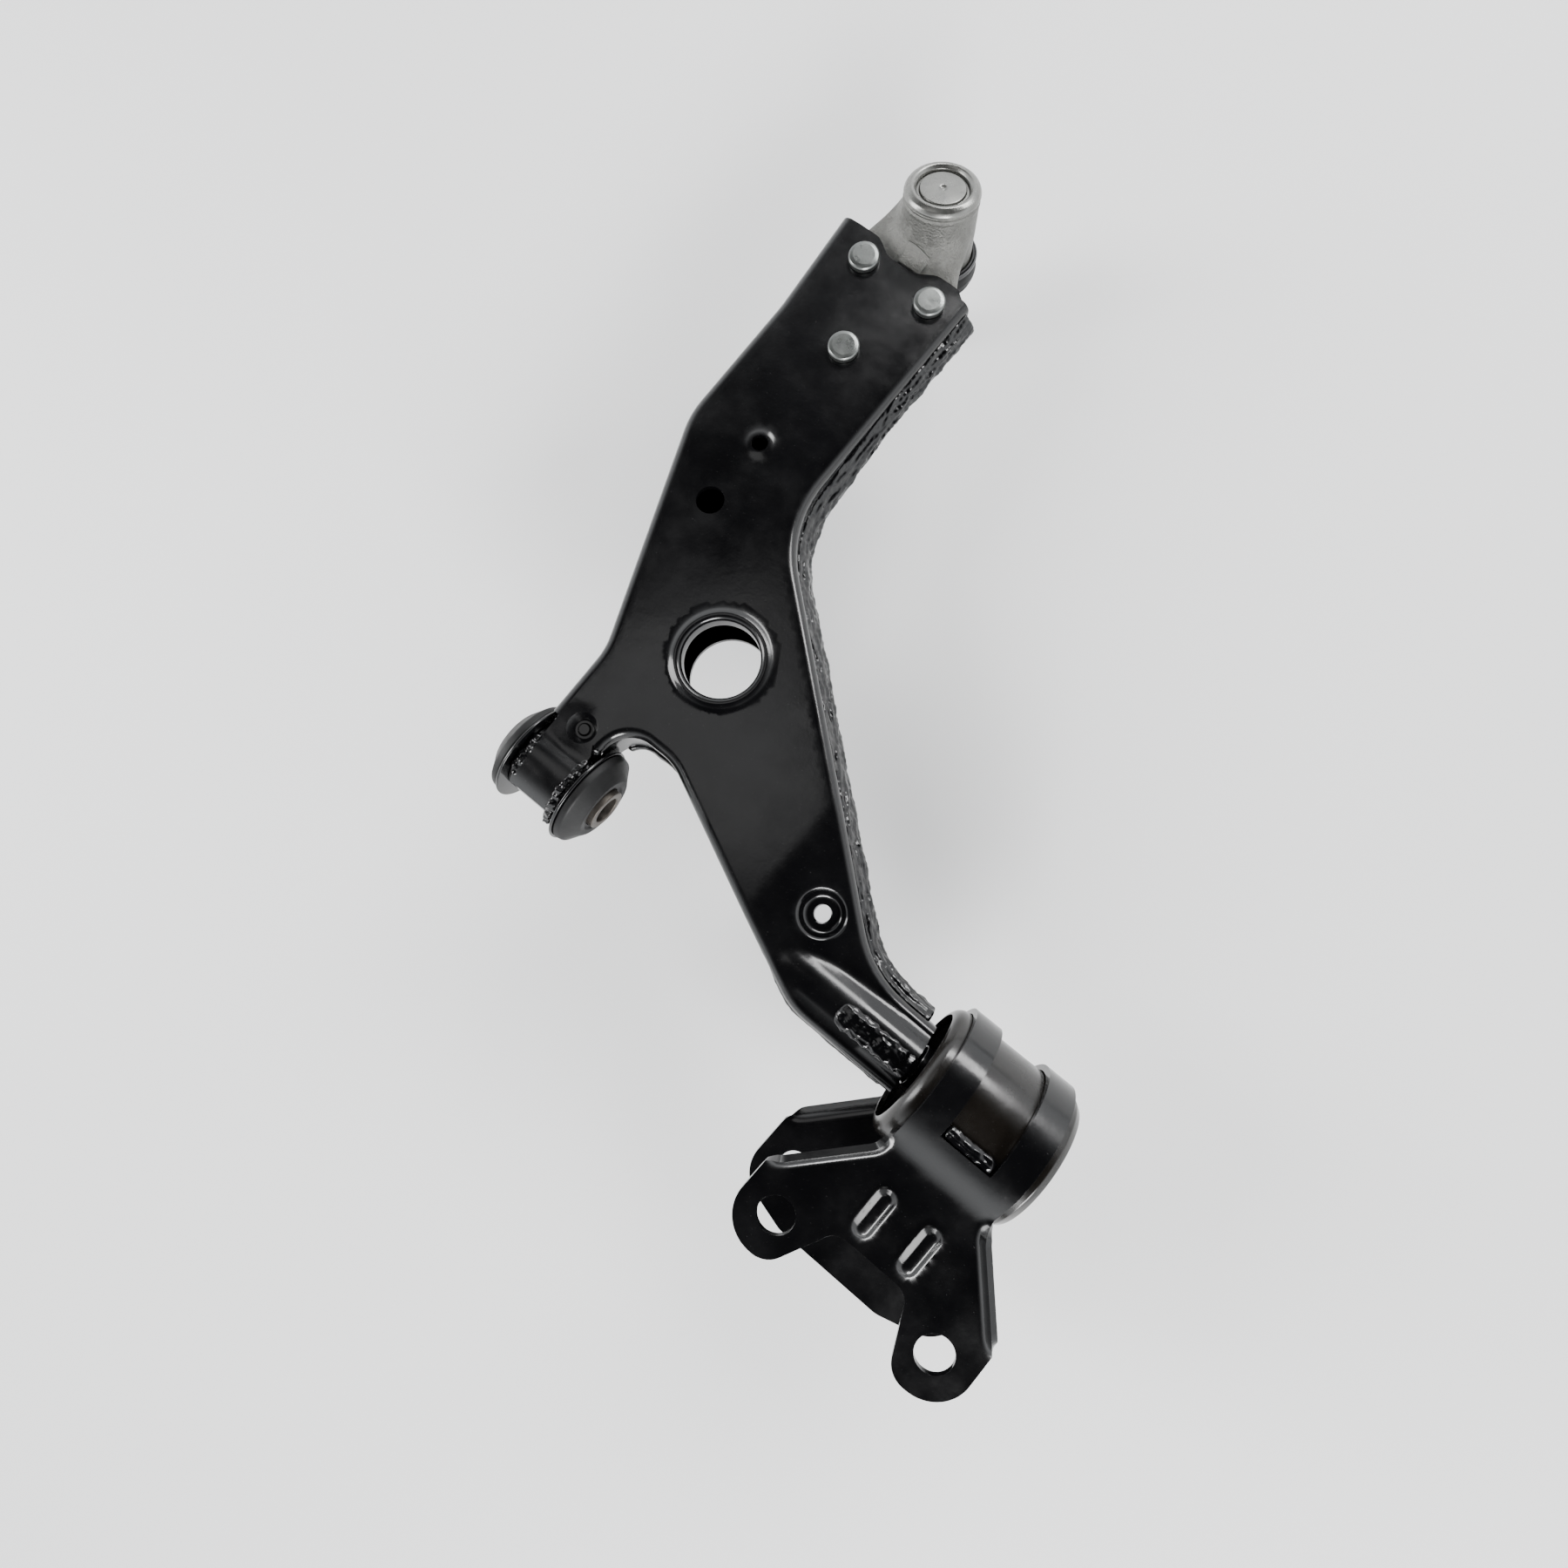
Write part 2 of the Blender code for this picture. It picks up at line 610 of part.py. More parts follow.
# ---- rear bush ------------------------------------------------------------------------------
can = []
for angle in (0, 30, 60, 90):
    lean = math.radians(angle)
    can.append((-28.0 - 5.5 * math.sin(lean), CAN_RADIUS - 5.5 * (1 - math.cos(lean))))
for angle in (90, 45, 0):
    lean = math.radians(angle)
    reach = 5.5 - CAN_SHEET
    can.append((-28.0 - reach * math.sin(lean), CAN_RADIUS - 5.5 + reach * math.cos(lean)))
can += [(29.0, CAN_RADIUS - CAN_SHEET), (31.6, 29.6), (33.4, 29.6), (33.4, 31.6), (30.2, CAN_RADIUS)]
lathe("rear_bush_can", can, BRACKET, (BLACK, 0.3, 0.5), count=40)
pad = [(-20, 13.3), (-22, 15.0), (-17, 22.0), (-20, 31.2), (25, 31.2), (23, 22.0), (27, 15.0), (26, 13.3)]
lathe("rear_bush_rubber", pad, BRACKET, SOFT, count=24)
liner = [(rear - 26, 11.0), (rear + 28, 11.0), (rear + 28, 13.0), (rear - 26, 13.0)]
lathe("rear_bush_sleeve", liner, ARM, BARE, count=24)


# ---- bracket --------------------------------------------------------------------------------
def plate_height(y):
    barrel = math.sqrt(max(STRAP_RADIUS ** 2 - y * y, 1.0)) if y > -STRAP_RADIUS else 0.0
    return soft_max(PLATE_HALF, barrel, 5.0)


def rib_lift(x, y):
    """Two raised ribs between the bolts and the can."""
    along = min(-46.0, max(-62.0, y))
    far = math.hypot(abs(x) - 12.0, y - along)
    return 2.6 * smooth((5.2 - far) / 2.8)


SEAM_Y = -8.0
NECK = [(-STRAP_HALF, -22, 0), (-27.5, -30, 12), (-61, -68, 0)]
UPPER_EDGE = [
    (-61, -68, 0), (-62.5, -103, 19), (-34, -104, 12), (-19, -71.5, 8), (19, -71.5, 8), (34, -104, 12),
    (62.5, -103, 19), (61, -68, 0),
]
LOWER_EDGE = [(-61, -68, 0), (-62.5, -103, 18), (-30, -112.5, 14), (30, -112.5, 14), (62.5, -103, 18), (61, -68, 0)]


def bracket_half(name, edge, hole_radius, side):
    verts = []
    faces = []
    neck = spaced(rounded(NECK), 12.0)
    left = [Vector((p.x, p.y)) for p in neck]
    right = [Vector((-p.x, p.y)) for p in neck[::-1]]
    loop = []

    def add(x, y, z):
        verts.append((x, y, z * side))
        return len(verts) - 1

    top = [add(x, SEAM_Y, plate_height(SEAM_Y)) for x in (STRAP_HALF, 19.7, BAND_INNER)]
    top += [add(x, SEAM_Y, plate_height(SEAM_Y)) for x in (4.3, -4.3)]
    top += [add(x, SEAM_Y, plate_height(SEAM_Y)) for x in (-BAND_INNER, -19.7, -STRAP_HALF)]
    loop += top
    loop += [add(-STRAP_HALF, y, plate_height(y)) for y in (-13, -18)]
    for path in (left, right):
        crown = inset(path, -5.0)
        inner = [add(c.x, c.y, plate_height(c.y)) for c in crown]
        mid = [add(c.lerp(p, 0.55).x, c.lerp(p, 0.55).y, plate_height(c.y) + 1.4) for c, p in zip(crown, path)]
        rim = [add(p.x, p.y, plate_height(c.y) + 5.0) for c, p in zip(crown, path)]
        for low, high in ((inner, mid), (mid, rim)):
            for i in range(len(path) - 1):
                faces.append((low[i], low[i + 1], high[i + 1], high[i]))
        loop += inner
        if path is left:
            outline = spaced(rounded(edge), 16.0)[1:-1]
            loop += [add(p.x, p.y, plate_height(p.y)) for p in outline]
    loop += [add(STRAP_HALF, y, plate_height(y)) for y in (-18, -13)]
    flat = [Vector(verts[i][:2]) for i in loop]
    owners = list(loop)
    edges = [(i, (i + 1) % len(flat)) for i in range(len(flat))]
    inner_loops = [ring(x, BOLT_Y, hole_radius, 20) for x in (-BOLT_X, BOLT_X)]
    for sign in (-1, 1):
        for width in (5.2, 2.4):
            capsule = []
            for angle in range(0, 360, 45):
                shift = -46.0 if angle < 180 else -62.0
                lean = math.radians(angle)
                capsule.append(Vector((sign * 12 + width * math.cos(lean), shift + width * math.sin(lean))))
                if angle == 135:
                    capsule.append(Vector((sign * 12 - width, -46.0)))
            capsule.append(Vector((sign * 12 + width, -62.0)))
            inner_loops.append(capsule)
    for points in inner_loops:
        start = len(flat)
        flat += points
        owners += [None] * len(points)
        edges += [(start + i, start + (i + 1) % len(points)) for i in range(len(points))]
    taken = list(flat)
    for y in (-13, -18, -23, -28, -34, -42, -50, -58, -66, -74, -82, -90, -98, -106):
        for x in range(-56, 57, 14):
            spot = Vector((x, y))
            if min((spot - p).length for p in taken) > 4.5 and inside(spot, taken[:len(loop)]):
                flat.append(spot)
                owners.append(None)
    found, _, tris, origin, _, _ = delaunay_2d_cdt(flat, edges, [], 1, 1e-5)
    index = []
    for point, source in zip(found, origin):
        owner = next((owners[s] for s in source if owners[s] is not None), None)
        if owner is None:
            owner = add(point.x, point.y, plate_height(point.y) + rib_lift(point.x, point.y))
        index.append(owner)
    for tri in tris:
        middle = sum((found[i] for i in tri), Vector((0, 0))) / 3
        if min((middle - Vector((x, BOLT_Y))).length for x in (-BOLT_X, BOLT_X)) > hole_radius:
            faces.append(tuple(index[i] for i in tri))
    return verts, faces, top


upper = bracket_half("upper", UPPER_EDGE, 8.8, 1)
lower = bracket_half("lower", LOWER_EDGE, 7.9, -1)
verts = list(upper[0]) + list(lower[0])
shift = len(upper[0])
faces = list(upper[1]) + [tuple(i + shift for i in f[::-1]) for f in lower[1]]
first = math.acos(SEAM_Y / STRAP_RADIUS)
turns = 18
for picks in ((0, 1, 2), (5, 6, 7)):
    rows = [[upper[2][i] for i in picks]]
    for t in range(1, turns):
        angle = first - 2 * first * t / turns
        row = []
        for i in picks:
            row.append(len(verts))
            verts.append((verts[upper[2][i]][0], STRAP_RADIUS * math.cos(angle), STRAP_RADIUS * math.sin(angle)))
        rows.append(row)
    rows.append([lower[2][i] + shift for i in picks])
    for a, b in zip(rows, rows[1:]):
        for i in range(2):
            faces.append((a[i], a[i + 1], b[i + 1], b[i]))
strap = node("rear_bracket", verts, faces, BRACKET, PAINT)
work = bmesh.new()
work.from_mesh(strap.data)
if max(work.faces, key=lambda f: f.calc_center_median().z).normal.z < 0:
    bmesh.ops.reverse_faces(work, faces=work.faces)
work.to_mesh(strap.data)
work.free()
thick = strap.modifiers.new("sheet", "SOLIDIFY")
thick.thickness = SHEET * MM
thick.offset = -1
thick.use_even_offset = True

for label, side in (("upper", 1), ("lower", -1)):
    first = math.degrees(math.acos(SEAM_Y / STRAP_RADIUS)) - 2.0
    bead = [(-12.2, 34.2), (12.2, 34.2), (12.2, 36.4), (0.0, 37.4), (-12.2, 36.4)]
    made = lathe("window_weld_" + label, bead, BRACKET, PAINT, count=3, sweep=6.0, start=first - 6.0)
    if side < 0:
        made.scale.z = -1
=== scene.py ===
"""Studio view of the pressed steel control arm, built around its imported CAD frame."""
import math

import bmesh
import bpy
from mathutils import Matrix, Vector, kdtree, noise
from mathutils.geometry import delaunay_2d_cdt


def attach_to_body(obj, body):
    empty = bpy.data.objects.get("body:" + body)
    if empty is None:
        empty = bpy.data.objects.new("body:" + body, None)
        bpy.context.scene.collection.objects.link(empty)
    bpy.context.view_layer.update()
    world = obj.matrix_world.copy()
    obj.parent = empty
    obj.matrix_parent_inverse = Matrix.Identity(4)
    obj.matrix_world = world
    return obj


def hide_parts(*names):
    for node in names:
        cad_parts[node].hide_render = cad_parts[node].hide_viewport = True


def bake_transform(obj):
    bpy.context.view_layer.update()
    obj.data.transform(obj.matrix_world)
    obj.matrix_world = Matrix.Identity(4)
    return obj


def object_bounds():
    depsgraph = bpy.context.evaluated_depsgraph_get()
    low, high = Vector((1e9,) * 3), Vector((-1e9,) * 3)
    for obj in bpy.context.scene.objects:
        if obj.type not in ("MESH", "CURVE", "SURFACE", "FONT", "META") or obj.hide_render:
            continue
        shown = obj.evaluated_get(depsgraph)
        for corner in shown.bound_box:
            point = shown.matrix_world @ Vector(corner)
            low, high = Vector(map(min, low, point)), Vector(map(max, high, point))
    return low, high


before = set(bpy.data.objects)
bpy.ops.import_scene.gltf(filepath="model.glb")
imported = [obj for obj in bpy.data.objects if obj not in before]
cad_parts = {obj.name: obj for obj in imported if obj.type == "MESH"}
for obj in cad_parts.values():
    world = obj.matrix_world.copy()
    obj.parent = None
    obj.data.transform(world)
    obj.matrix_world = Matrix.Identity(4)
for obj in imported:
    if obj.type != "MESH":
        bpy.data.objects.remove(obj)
CAD_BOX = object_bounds()
MM = 0.001
SHEET = 3.0

# ---- frames and camera ----------------------------------------------------------------------
TILT = Matrix.Rotation(math.radians(-8.5), 4, "X")
ARM = Matrix.Translation((-0.25, 0.085, 0.0285)) @ TILT
BRACKET = Matrix.Translation((0, 0.085, 0.0285))
CAP = Vector((-27.6, 334.0, 38.0))
AXIS = Vector((-0.098, 0.208, 1.0)).normalized()
LEAN = Vector((0, 0, 1)).rotation_difference(AXIS).to_matrix().to_4x4()
JOINT = ARM @ Matrix.Translation(CAP * MM) @ LEAN

camera = bpy.data.objects.new("camera", bpy.data.cameras.new("camera"))
bpy.context.scene.collection.objects.link(camera)
bpy.context.scene.camera = camera
right = Vector((0.7766, 0.6265, -0.0661))
down = Vector((0.6140, -0.7762, -0.1430))
ahead = Vector((-0.1409, 0.0705, -0.9875))
turn = Matrix((right, -down, -ahead)).transposed().to_4x4()
camera.matrix_world = ARM @ Matrix.Translation((0.1503, 0.0329, 0.4310)) @ turn
camera.data.sensor_width = 36.0
camera.data.lens = 20.83
camera.data.clip_start = 0.01

# ---- materials ------------------------------------------------------------------------------


class Look:
    """A Principled material with helpers for layered procedural detail."""

    def __init__(self, name, colour, roughness, metallic=0.0):
        self.material = bpy.data.materials.new(name)
        self.material.use_nodes = True
        self.tree = self.material.node_tree
        self.shader = self.tree.nodes["Principled BSDF"]
        self.shader.inputs["Base Color"].default_value = (*colour, 1)
        self.shader.inputs["Roughness"].default_value = roughness
        self.shader.inputs["Metallic"].default_value = metallic
        self.place = self.tree.nodes.new("ShaderNodeTexCoord").outputs["Object"]
        self.height = None

    def set(self, socket, value):
        self.shader.inputs[socket].default_value = value
        return self

    def noise(self, scale, detail=4.0, rough=0.55):
        node = self.tree.nodes.new("ShaderNodeTexNoise")
        node.inputs["Scale"].default_value = scale
        node.inputs["Detail"].default_value = detail
        node.inputs["Roughness"].default_value = rough
        self.tree.links.new(self.place, node.inputs["Vector"])
        return node.outputs["Fac"]

    def spots(self, scale):
        node = self.tree.nodes.new("ShaderNodeTexVoronoi")
        node.inputs["Scale"].default_value = scale
        self.tree.links.new(self.place, node.inputs["Vector"])
        return node.outputs["Distance"]

    def ramp(self, source, low, high, dark, light):
        node = self.tree.nodes.new("ShaderNodeMapRange")
        for name, value in (("From Min", low), ("From Max", high), ("To Min", dark), ("To Max", light)):
            node.inputs[name].default_value = value
        self.tree.links.new(source, node.inputs["Value"])
        return node.outputs["Result"]

    def colour(self, mask, light):
        """Mix the present base colour towards light where the mask is 1."""
        node = self.tree.nodes.new("ShaderNodeMix")
        node.data_type = "RGBA"
        base = self.shader.inputs["Base Color"]
        if base.is_linked:
            self.tree.links.new(base.links[0].from_socket, node.inputs["A"])
        else:
            node.inputs["A"].default_value = base.default_value
        node.inputs["B"].default_value = (*light, 1)
        self.tree.links.new(mask, node.inputs["Factor"])
        self.tree.links.new(node.outputs["Result"], base)
        return self

    def rough(self, source):
        self.tree.links.new(source, self.shader.inputs["Roughness"])
        return self

    def bump(self, source, distance, strength=1.0):
        node = self.tree.nodes.new("ShaderNodeBump")
        node.inputs["Distance"].default_value = distance
        node.inputs["Strength"].default_value = strength
        self.tree.links.new(source, node.inputs["Height"])
        if self.height:
            self.tree.links.new(self.height, node.inputs["Normal"])
        self.height = node.outputs["Normal"]
        self.tree.links.new(self.height, self.shader.inputs["Normal"])
        return self


def paint_look(name, colour=(0.0016, 0.0016, 0.0019), low=0.12, high=0.27, lumps=0.0):
    """Gloss black dip paint: slight orange peel, uneven gloss, dust and fine rubs."""
    look = Look(name, colour, 0.3)
    cloud = look.noise(38, 5, 0.6)
    look.rough(look.ramp(cloud, 0.35, 0.7, low, high))
    look.colour(look.ramp(look.noise(22, 4), 0.45, 0.75, 0.0, 0.5), [c * 2.0 for c in colour])
    dust = look.ramp(look.noise(1500, 2, 0.7), 0.71, 0.77, 0.0, 0.5)
    look.colour(dust, (0.10, 0.10, 0.10))
    look.bump(look.noise(700, 2), 0.00005, 0.35)
    look.bump(look.noise(60, 3), 0.0004, 0.25)
    pits = look.ramp(look.spots(75), 0.0, 0.07, 1.0, 0.0)
    look.bump(pits, 0.00015, -0.5)
    if lumps:
        look.bump(look.noise(420, 4, 0.6), lumps, 0.9)
    return look.material


def metal_look(name, colour, low, high, grain, grain_depth, metallic=0.9, dirt=0.3):
    look = Look(name, colour, 0.4, metallic)
    look.rough(look.ramp(look.noise(90, 6, 0.65), 0.3, 0.7, low, high))
    look.colour(look.ramp(look.noise(140, 6, 0.7), 0.42, 0.72, 0.0, dirt), [c * 0.42 for c in colour])
    look.colour(look.ramp(look.noise(900, 3), 0.55, 0.75, 0.0, 0.35), [min(1, c * 1.35) for c in colour])
    look.bump(look.noise(grain, 4, 0.6), grain_depth, 0.8)
    return look.material


PAINT = paint_look("gloss_black_dip")
WELD = paint_look("painted_weld", (0.0014, 0.0014, 0.0017), 0.08, 0.2, 0.00016)
CAN = paint_look("thin_black_can", (0.0045, 0.0036, 0.0028), 0.14, 0.34)
FORGED = metal_look("forged_grey", (0.165, 0.165, 0.155), 0.4, 0.58, 1000, 0.0008, 0.85, 0.6)
TURNED = metal_look("machined_cap", (0.2, 0.2, 0.19), 0.2, 0.38, 500, 0.00004, 0.9, 0.35)
ZINC = metal_look("zinc_rivet", (0.17, 0.178, 0.172), 0.24, 0.4, 260, 0.00012, 0.9, 0.45)
SLEEVE = metal_look("sleeve_steel", (0.09, 0.08, 0.07), 0.35, 0.6, 700, 0.00008, 0.85, 0.6)
RING = metal_look("dark_ring", (0.05, 0.05, 0.052), 0.3, 0.5, 500, 0.00005, 0.8, 0.3)
NYLON = metal_look("seat_nylon", (0.72, 0.70, 0.64), 0.45, 0.6, 300, 0.00005, 0.0, 0.2)

rubber = Look("moulded_rubber", (0.0028, 0.0028, 0.003), 0.55)
rubber.set("Specular IOR Level", 0.3)
rubber.rough(rubber.ramp(rubber.noise(60, 5), 0.3, 0.7, 0.42, 0.68))
rubber.colour(rubber.ramp(rubber.noise(240, 6, 0.7), 0.52, 0.78, 0.0, 0.5), (0.008, 0.008, 0.0085))
rubber.colour(rubber.ramp(rubber.noise(1300, 2), 0.7, 0.8, 0.0, 0.25), (0.05, 0.05, 0.048))
rubber.bump(rubber.noise(900, 3), 0.0001, 0.5)
RUBBER = rubber.material

# ---- mesh helpers ---------------------------------------------------------------------------


def piece(name, verts, faces, matrix, look, body, nodes, smooth=40):
    """Make a piece from millimetre points under matrix, and tie it to the frame."""
    mesh = bpy.data.meshes.new(name)
    mesh.from_pydata([matrix @ (Vector(v) * MM) for v in verts], [], faces)
    obj = bpy.data.objects.new(name, mesh)
    bpy.context.scene.collection.objects.link(obj)
    mesh.materials.append(look)
    work = bmesh.new()
    work.from_mesh(mesh)
    bmesh.ops.delete(work, geom=[v for v in work.verts if not v.link_faces], context="VERTS")
    bmesh.ops.remove_doubles(work, verts=work.verts, dist=1e-7)
    bmesh.ops.dissolve_degenerate(work, edges=work.edges, dist=1e-7)
    bmesh.ops.recalc_face_normals(work, faces=work.faces)
    work.to_mesh(mesh)
    work.free()
    finish(obj, smooth)
    attach(obj, body, nodes)
    return obj


def finish(obj, smooth):
    obj.data.shade_smooth()
    obj.data.set_sharp_from_angle(angle=math.radians(smooth))


def attach(obj, body, nodes):
    if body:
        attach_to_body(obj, body)
    if nodes:
        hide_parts(*nodes)


def rounded(corners, step=5.0, closed=False):
    """Path through (x, y, radius) corners with arcs at the rounded ones."""
    n = len(corners)
    picks = range(n) if closed else range(1, n - 1)
    path = [] if closed else [Vector(corners[0][:2])]
    for i in picks:
        point = Vector(corners[i][:2])
        radius = corners[i][2]
        back = Vector(corners[i - 1][:2]) - point
        ahead = Vector(corners[(i + 1) % n][:2]) - point
        if radius == 0:
            path.append(point)
            continue
        half = back.angle(ahead) / 2
        reach = radius / math.tan(half)
        limit = min(back.length, ahead.length) * 0.49
        if closed and reach > limit:
            radius *= limit / reach
            reach = limit
        back.normalize()
        ahead.normalize()
        if abs(half - math.pi / 2) < 1e-3:
            path.append(point)
            continue
        centre = point + (back + ahead).normalized() * radius / math.sin(half)
        start = point + back * reach - centre
        swing = math.pi - 2 * half
        if back.x * ahead.y - back.y * ahead.x > 0:
            swing = -swing
        count = max(2, math.ceil(abs(math.degrees(swing)) / step))
        path += [centre + Matrix.Rotation(swing * k / count, 2) @ start for k in range(count + 1)]
    if not closed:
        path.append(Vector(corners[-1][:2]))
    return path


def spaced(path, gap):
    result = [path[0]]
    for a, b in zip(path, path[1:]):
        count = max(1, round((b - a).length / gap))
        result += [a.lerp(b, i / count) for i in range(1, count + 1)]
    return result


def inset(path, distance):
    """Path moved to the right of its direction of travel."""
    moved = []
    for i, point in enumerate(path):
        before = (point - path[i - 1]).normalized() if i else None
        after = (path[i + 1] - point).normalized() if i + 1 < len(path) else None
        before = before or after
        after = after or before
        side = Vector((before.y, -before.x))
        across = (side + Vector((after.y, -after.x))).normalized()
        moved.append(point + across * distance / across.dot(side))
    return moved


def ring(x, y, radius, count):
    turns = [2 * math.pi * i / count for i in range(count)]
    return [Vector((x + radius * math.cos(t), y + radius * math.sin(t))) for t in turns]


def smooth(t):
    t = min(1.0, max(0.0, t))
    return t * t * (3 - 2 * t)


def soft_max(a, b, blend):
    gap = max(blend - abs(a - b), 0.0) / blend
    return max(a, b) + gap * gap * blend / 4


def inside(point, loop):
    odd = False
    for a, b in zip(loop, loop[1:] + loop[:1]):
        if (a.y > point.y) != (b.y > point.y):
            if point.x < a.x + (point.y - a.y) * (b.x - a.x) / (b.y - a.y):
                odd = not odd
    return odd


def lathe(name, profile, matrix, look, body, nodes, axis="X", count=96, wobble=0.0, sweep=360.0, start=0.0):
    """Closed (along, radius, rounding) profile turned about X or Z."""
    line = rounded([(a, r, f) for a, r, f in profile], 15.0, closed=True)
    closed = sweep >= 360.0
    steps = count if closed else count + 1
    verts = []
    for i in range(steps):
        angle = math.radians(start + sweep * i / count)
        for p in line:
            swell = wobble * noise.noise(Vector((math.cos(angle) * 2, math.sin(angle) * 2, p.x * 0.15)))
            radius = max(p.y, 0.0) + (swell if p.y > 0.01 else 0)
            a, b = radius * math.cos(angle), radius * math.sin(angle)
            verts.append((p.x, a, b) if axis == "X" else (a, b, p.x))
    n = len(line)
    faces = []
    for i in range(count):
        j = (i + 1) % steps
        for k in range(n):
            m = (k + 1) % n
            if line[k].y > 1e-6 or line[m].y > 1e-6:
                faces.append((i * n + k, i * n + m, j * n + m, j * n + k))
    if not closed:
        faces += [tuple(range(n)), tuple(range((steps - 1) * n, steps * n))]
    return piece(name, verts, faces, matrix, look, body, nodes, 35)


def fill(verts, loop, holes, extra, height, grid):
    """Triangles over the loop that follow the extra closed loops, leaving the holes open."""
    flat = [Vector(verts[i][:2]) for i in loop]
    outline = list(flat)
    owners = list(loop)
    edges = [(i, (i + 1) % len(flat)) for i in range(len(flat))]
    for rim in holes:
        start = len(flat)
        flat += [Vector(verts[i][:2]) for i in rim]
        owners += rim
        edges += [(start + i, start + (i + 1) % len(rim)) for i in range(len(rim))]
    for line in extra:
        start = len(flat)
        flat += line
        owners += [None] * len(line)
        edges += [(start + i, start + (i + 1) % len(line)) for i in range(len(line))]
    tree = kdtree.KDTree(len(flat))
    for i, p in enumerate(flat):
        tree.insert((p.x, p.y, 0), i)
    tree.balance()
    x0, x1 = min(p.x for p in outline), max(p.x for p in outline)
    y = min(p.y for p in outline)
    row = 0
    while y < max(p.y for p in outline):
        x = x0 + (grid / 2 if row % 2 else 0)
        while x < x1:
            if tree.find((x, y, 0))[2] > grid * 0.62 and inside(Vector((x, y)), outline):
                flat.append(Vector((x, y)))
                owners.append(None)
            x += grid
        y += grid * 0.87
        row += 1
    found, _, tris, origin, _, _ = delaunay_2d_cdt(flat, edges, [], 1, 1e-5)
    rims = [[Vector(verts[i][:2]) for i in rim] for rim in holes]
    index = []
    for point, source in zip(found, origin):
        owner = next((owners[s] for s in source if owners[s] is not None), None)
        if owner is None:
            owner = len(verts)
            verts.append((point.x, point.y, height(point.x, point.y)))
        index.append(owner)
    faces = []
    for tri in tris:
        middle = sum((found[i] for i in tri), Vector((0, 0))) / 3
        if not any(inside(middle, rim) for rim in rims):
            faces.append(tuple(index[i] for i in tri))
    return faces


def thicken(obj, side):
    """Face the open sheet outward, then give it its gauge and slightly eased cut edges."""
    work = bmesh.new()
    work.from_mesh(obj.data)
    up = max(work.faces, key=lambda f: f.calc_area() * abs(f.normal.z))
    if up.normal.z * side < 0:
        bmesh.ops.reverse_faces(work, faces=work.faces)
    work.to_mesh(obj.data)
    work.free()
    gauge = obj.modifiers.new("gauge", "SOLIDIFY")
    gauge.thickness = SHEET * MM
    gauge.offset = -1
    gauge.use_even_offset = True
    ease = obj.modifiers.new("ease", "BEVEL")
    ease.width = 0.35 * MM
    ease.segments = 2
    ease.limit_method = "ANGLE"
    ease.angle_limit = math.radians(50)
    ease.harden_normals = True


# ---- arm shells -----------------------------------------------------------------------------
BEND = 5.0
OUTER_SIDE = [(18, 303, 0), (17, 164, 55), (178, 24, 50), (214, 23, 0)]
INNER_SIDE = [(214, -15, 0), (157, -14.5, 35), (44, 39, 30), (13.5, 39, 16), (13.5, 21, 0)]
LEFT_SIDE = [(-14.5, 22, 0), (-14.5, 61, 40), (-59, 178, 45), (-59, 250, 60), (-63.5, 306, 0)]
BIG_HOLE = (31.0, 90.0, 18.8)
DIMPLE = (142.0, 27.0)
PIP = (0.5, 24.0)
SMALL_HOLES = [(-22.5, 185.0, 4.1), (-23.5, 148.0, 7.0)]
RIVETS = [(-42.6, 292.0), (-1.7, 291.4), (-20.8, 248.2)]
RIVET_HOLE = 5.3
DRAIN_RADIUS = 4.5
COLLAR_DEPTH = 9.0
LOWER_BIG_HOLE = 21.0


def tail_base(x):
    return 20.0 - 9.5 * smooth((x - 112) / 58) - 2.0 * smooth((x - 160) / 50)


def half_tube(x, y, radius):
    rise = smooth((x - 122) / 22)
    return math.sqrt(max(radius * radius - y * y, 1.0)) + 0.8 - 2.6 * (1 - rise)


def pressings(x, y):
    """Local pressings: hole ring, dimple, pip and the small ears by the first hole."""
    far = math.hypot(x - BIG_HOLE[0], y - BIG_HOLE[1])
    lift = 1.9 * smooth((25.8 - far) / 4.0)
    far = math.hypot(x - DIMPLE[0], y - DIMPLE[1])
    lift -= 4.6 * smooth((12.2 - far) / 4.4)
    far = math.hypot(x - SMALL_HOLES[0][0], y - SMALL_HOLES[0][1])
    lift += 0.9 * smooth((8.5 - far) / 3.5)
    far = math.hypot(x - PIP[0], y - PIP[1])
    lift += 0.7 * smooth((13 - far) / 5.0) - 4.4 * smooth((7.8 - far) / 3.6)
    lift += 1.0 * smooth((3.2 - far) / 0.7)
    return lift


def upper_height(x, y):
    base = tail_base(x)
    if x > 118:
        base = soft_max(base, half_tube(x, y, 16.0), 0.6)
    if x < 20 and y < 14:
        base = soft_max(-40, max(math.sqrt(max(22.8 ** 2 - y * y, 1.0)), 14.0), 1)
        base += (20.0 - base) * smooth((y - 6) / 8)
    return base + pressings(x, y)


def lower_height(x, y):
    base = -20.0 + 27.4 * smooth((y - 160) / 80) + 8.0 * smooth((x - 112) / 58)
    if x > 118:
        base = -soft_max(-base, half_tube(x, y, 16.0), 1.2)
    if x < 20 and y < 14:
        wrap = -max(math.sqrt(max(22.8 ** 2 - y * y, 1.0)), 14.0)
        base = wrap + (-20.0 - wrap) * smooth((y - 6) / 8)
    return base


def seam_height(x, y):
    return -5.0 + 14.0 * smooth((y - 160) / 80) + 3.0 * smooth((x - 112) / 58)


def lower_wall_end(x, y):
    return seam_height(x, y) + 9.0 - 5.0 * smooth((y - 160) / 80) - 4.0 * smooth((x - 112) / 58)


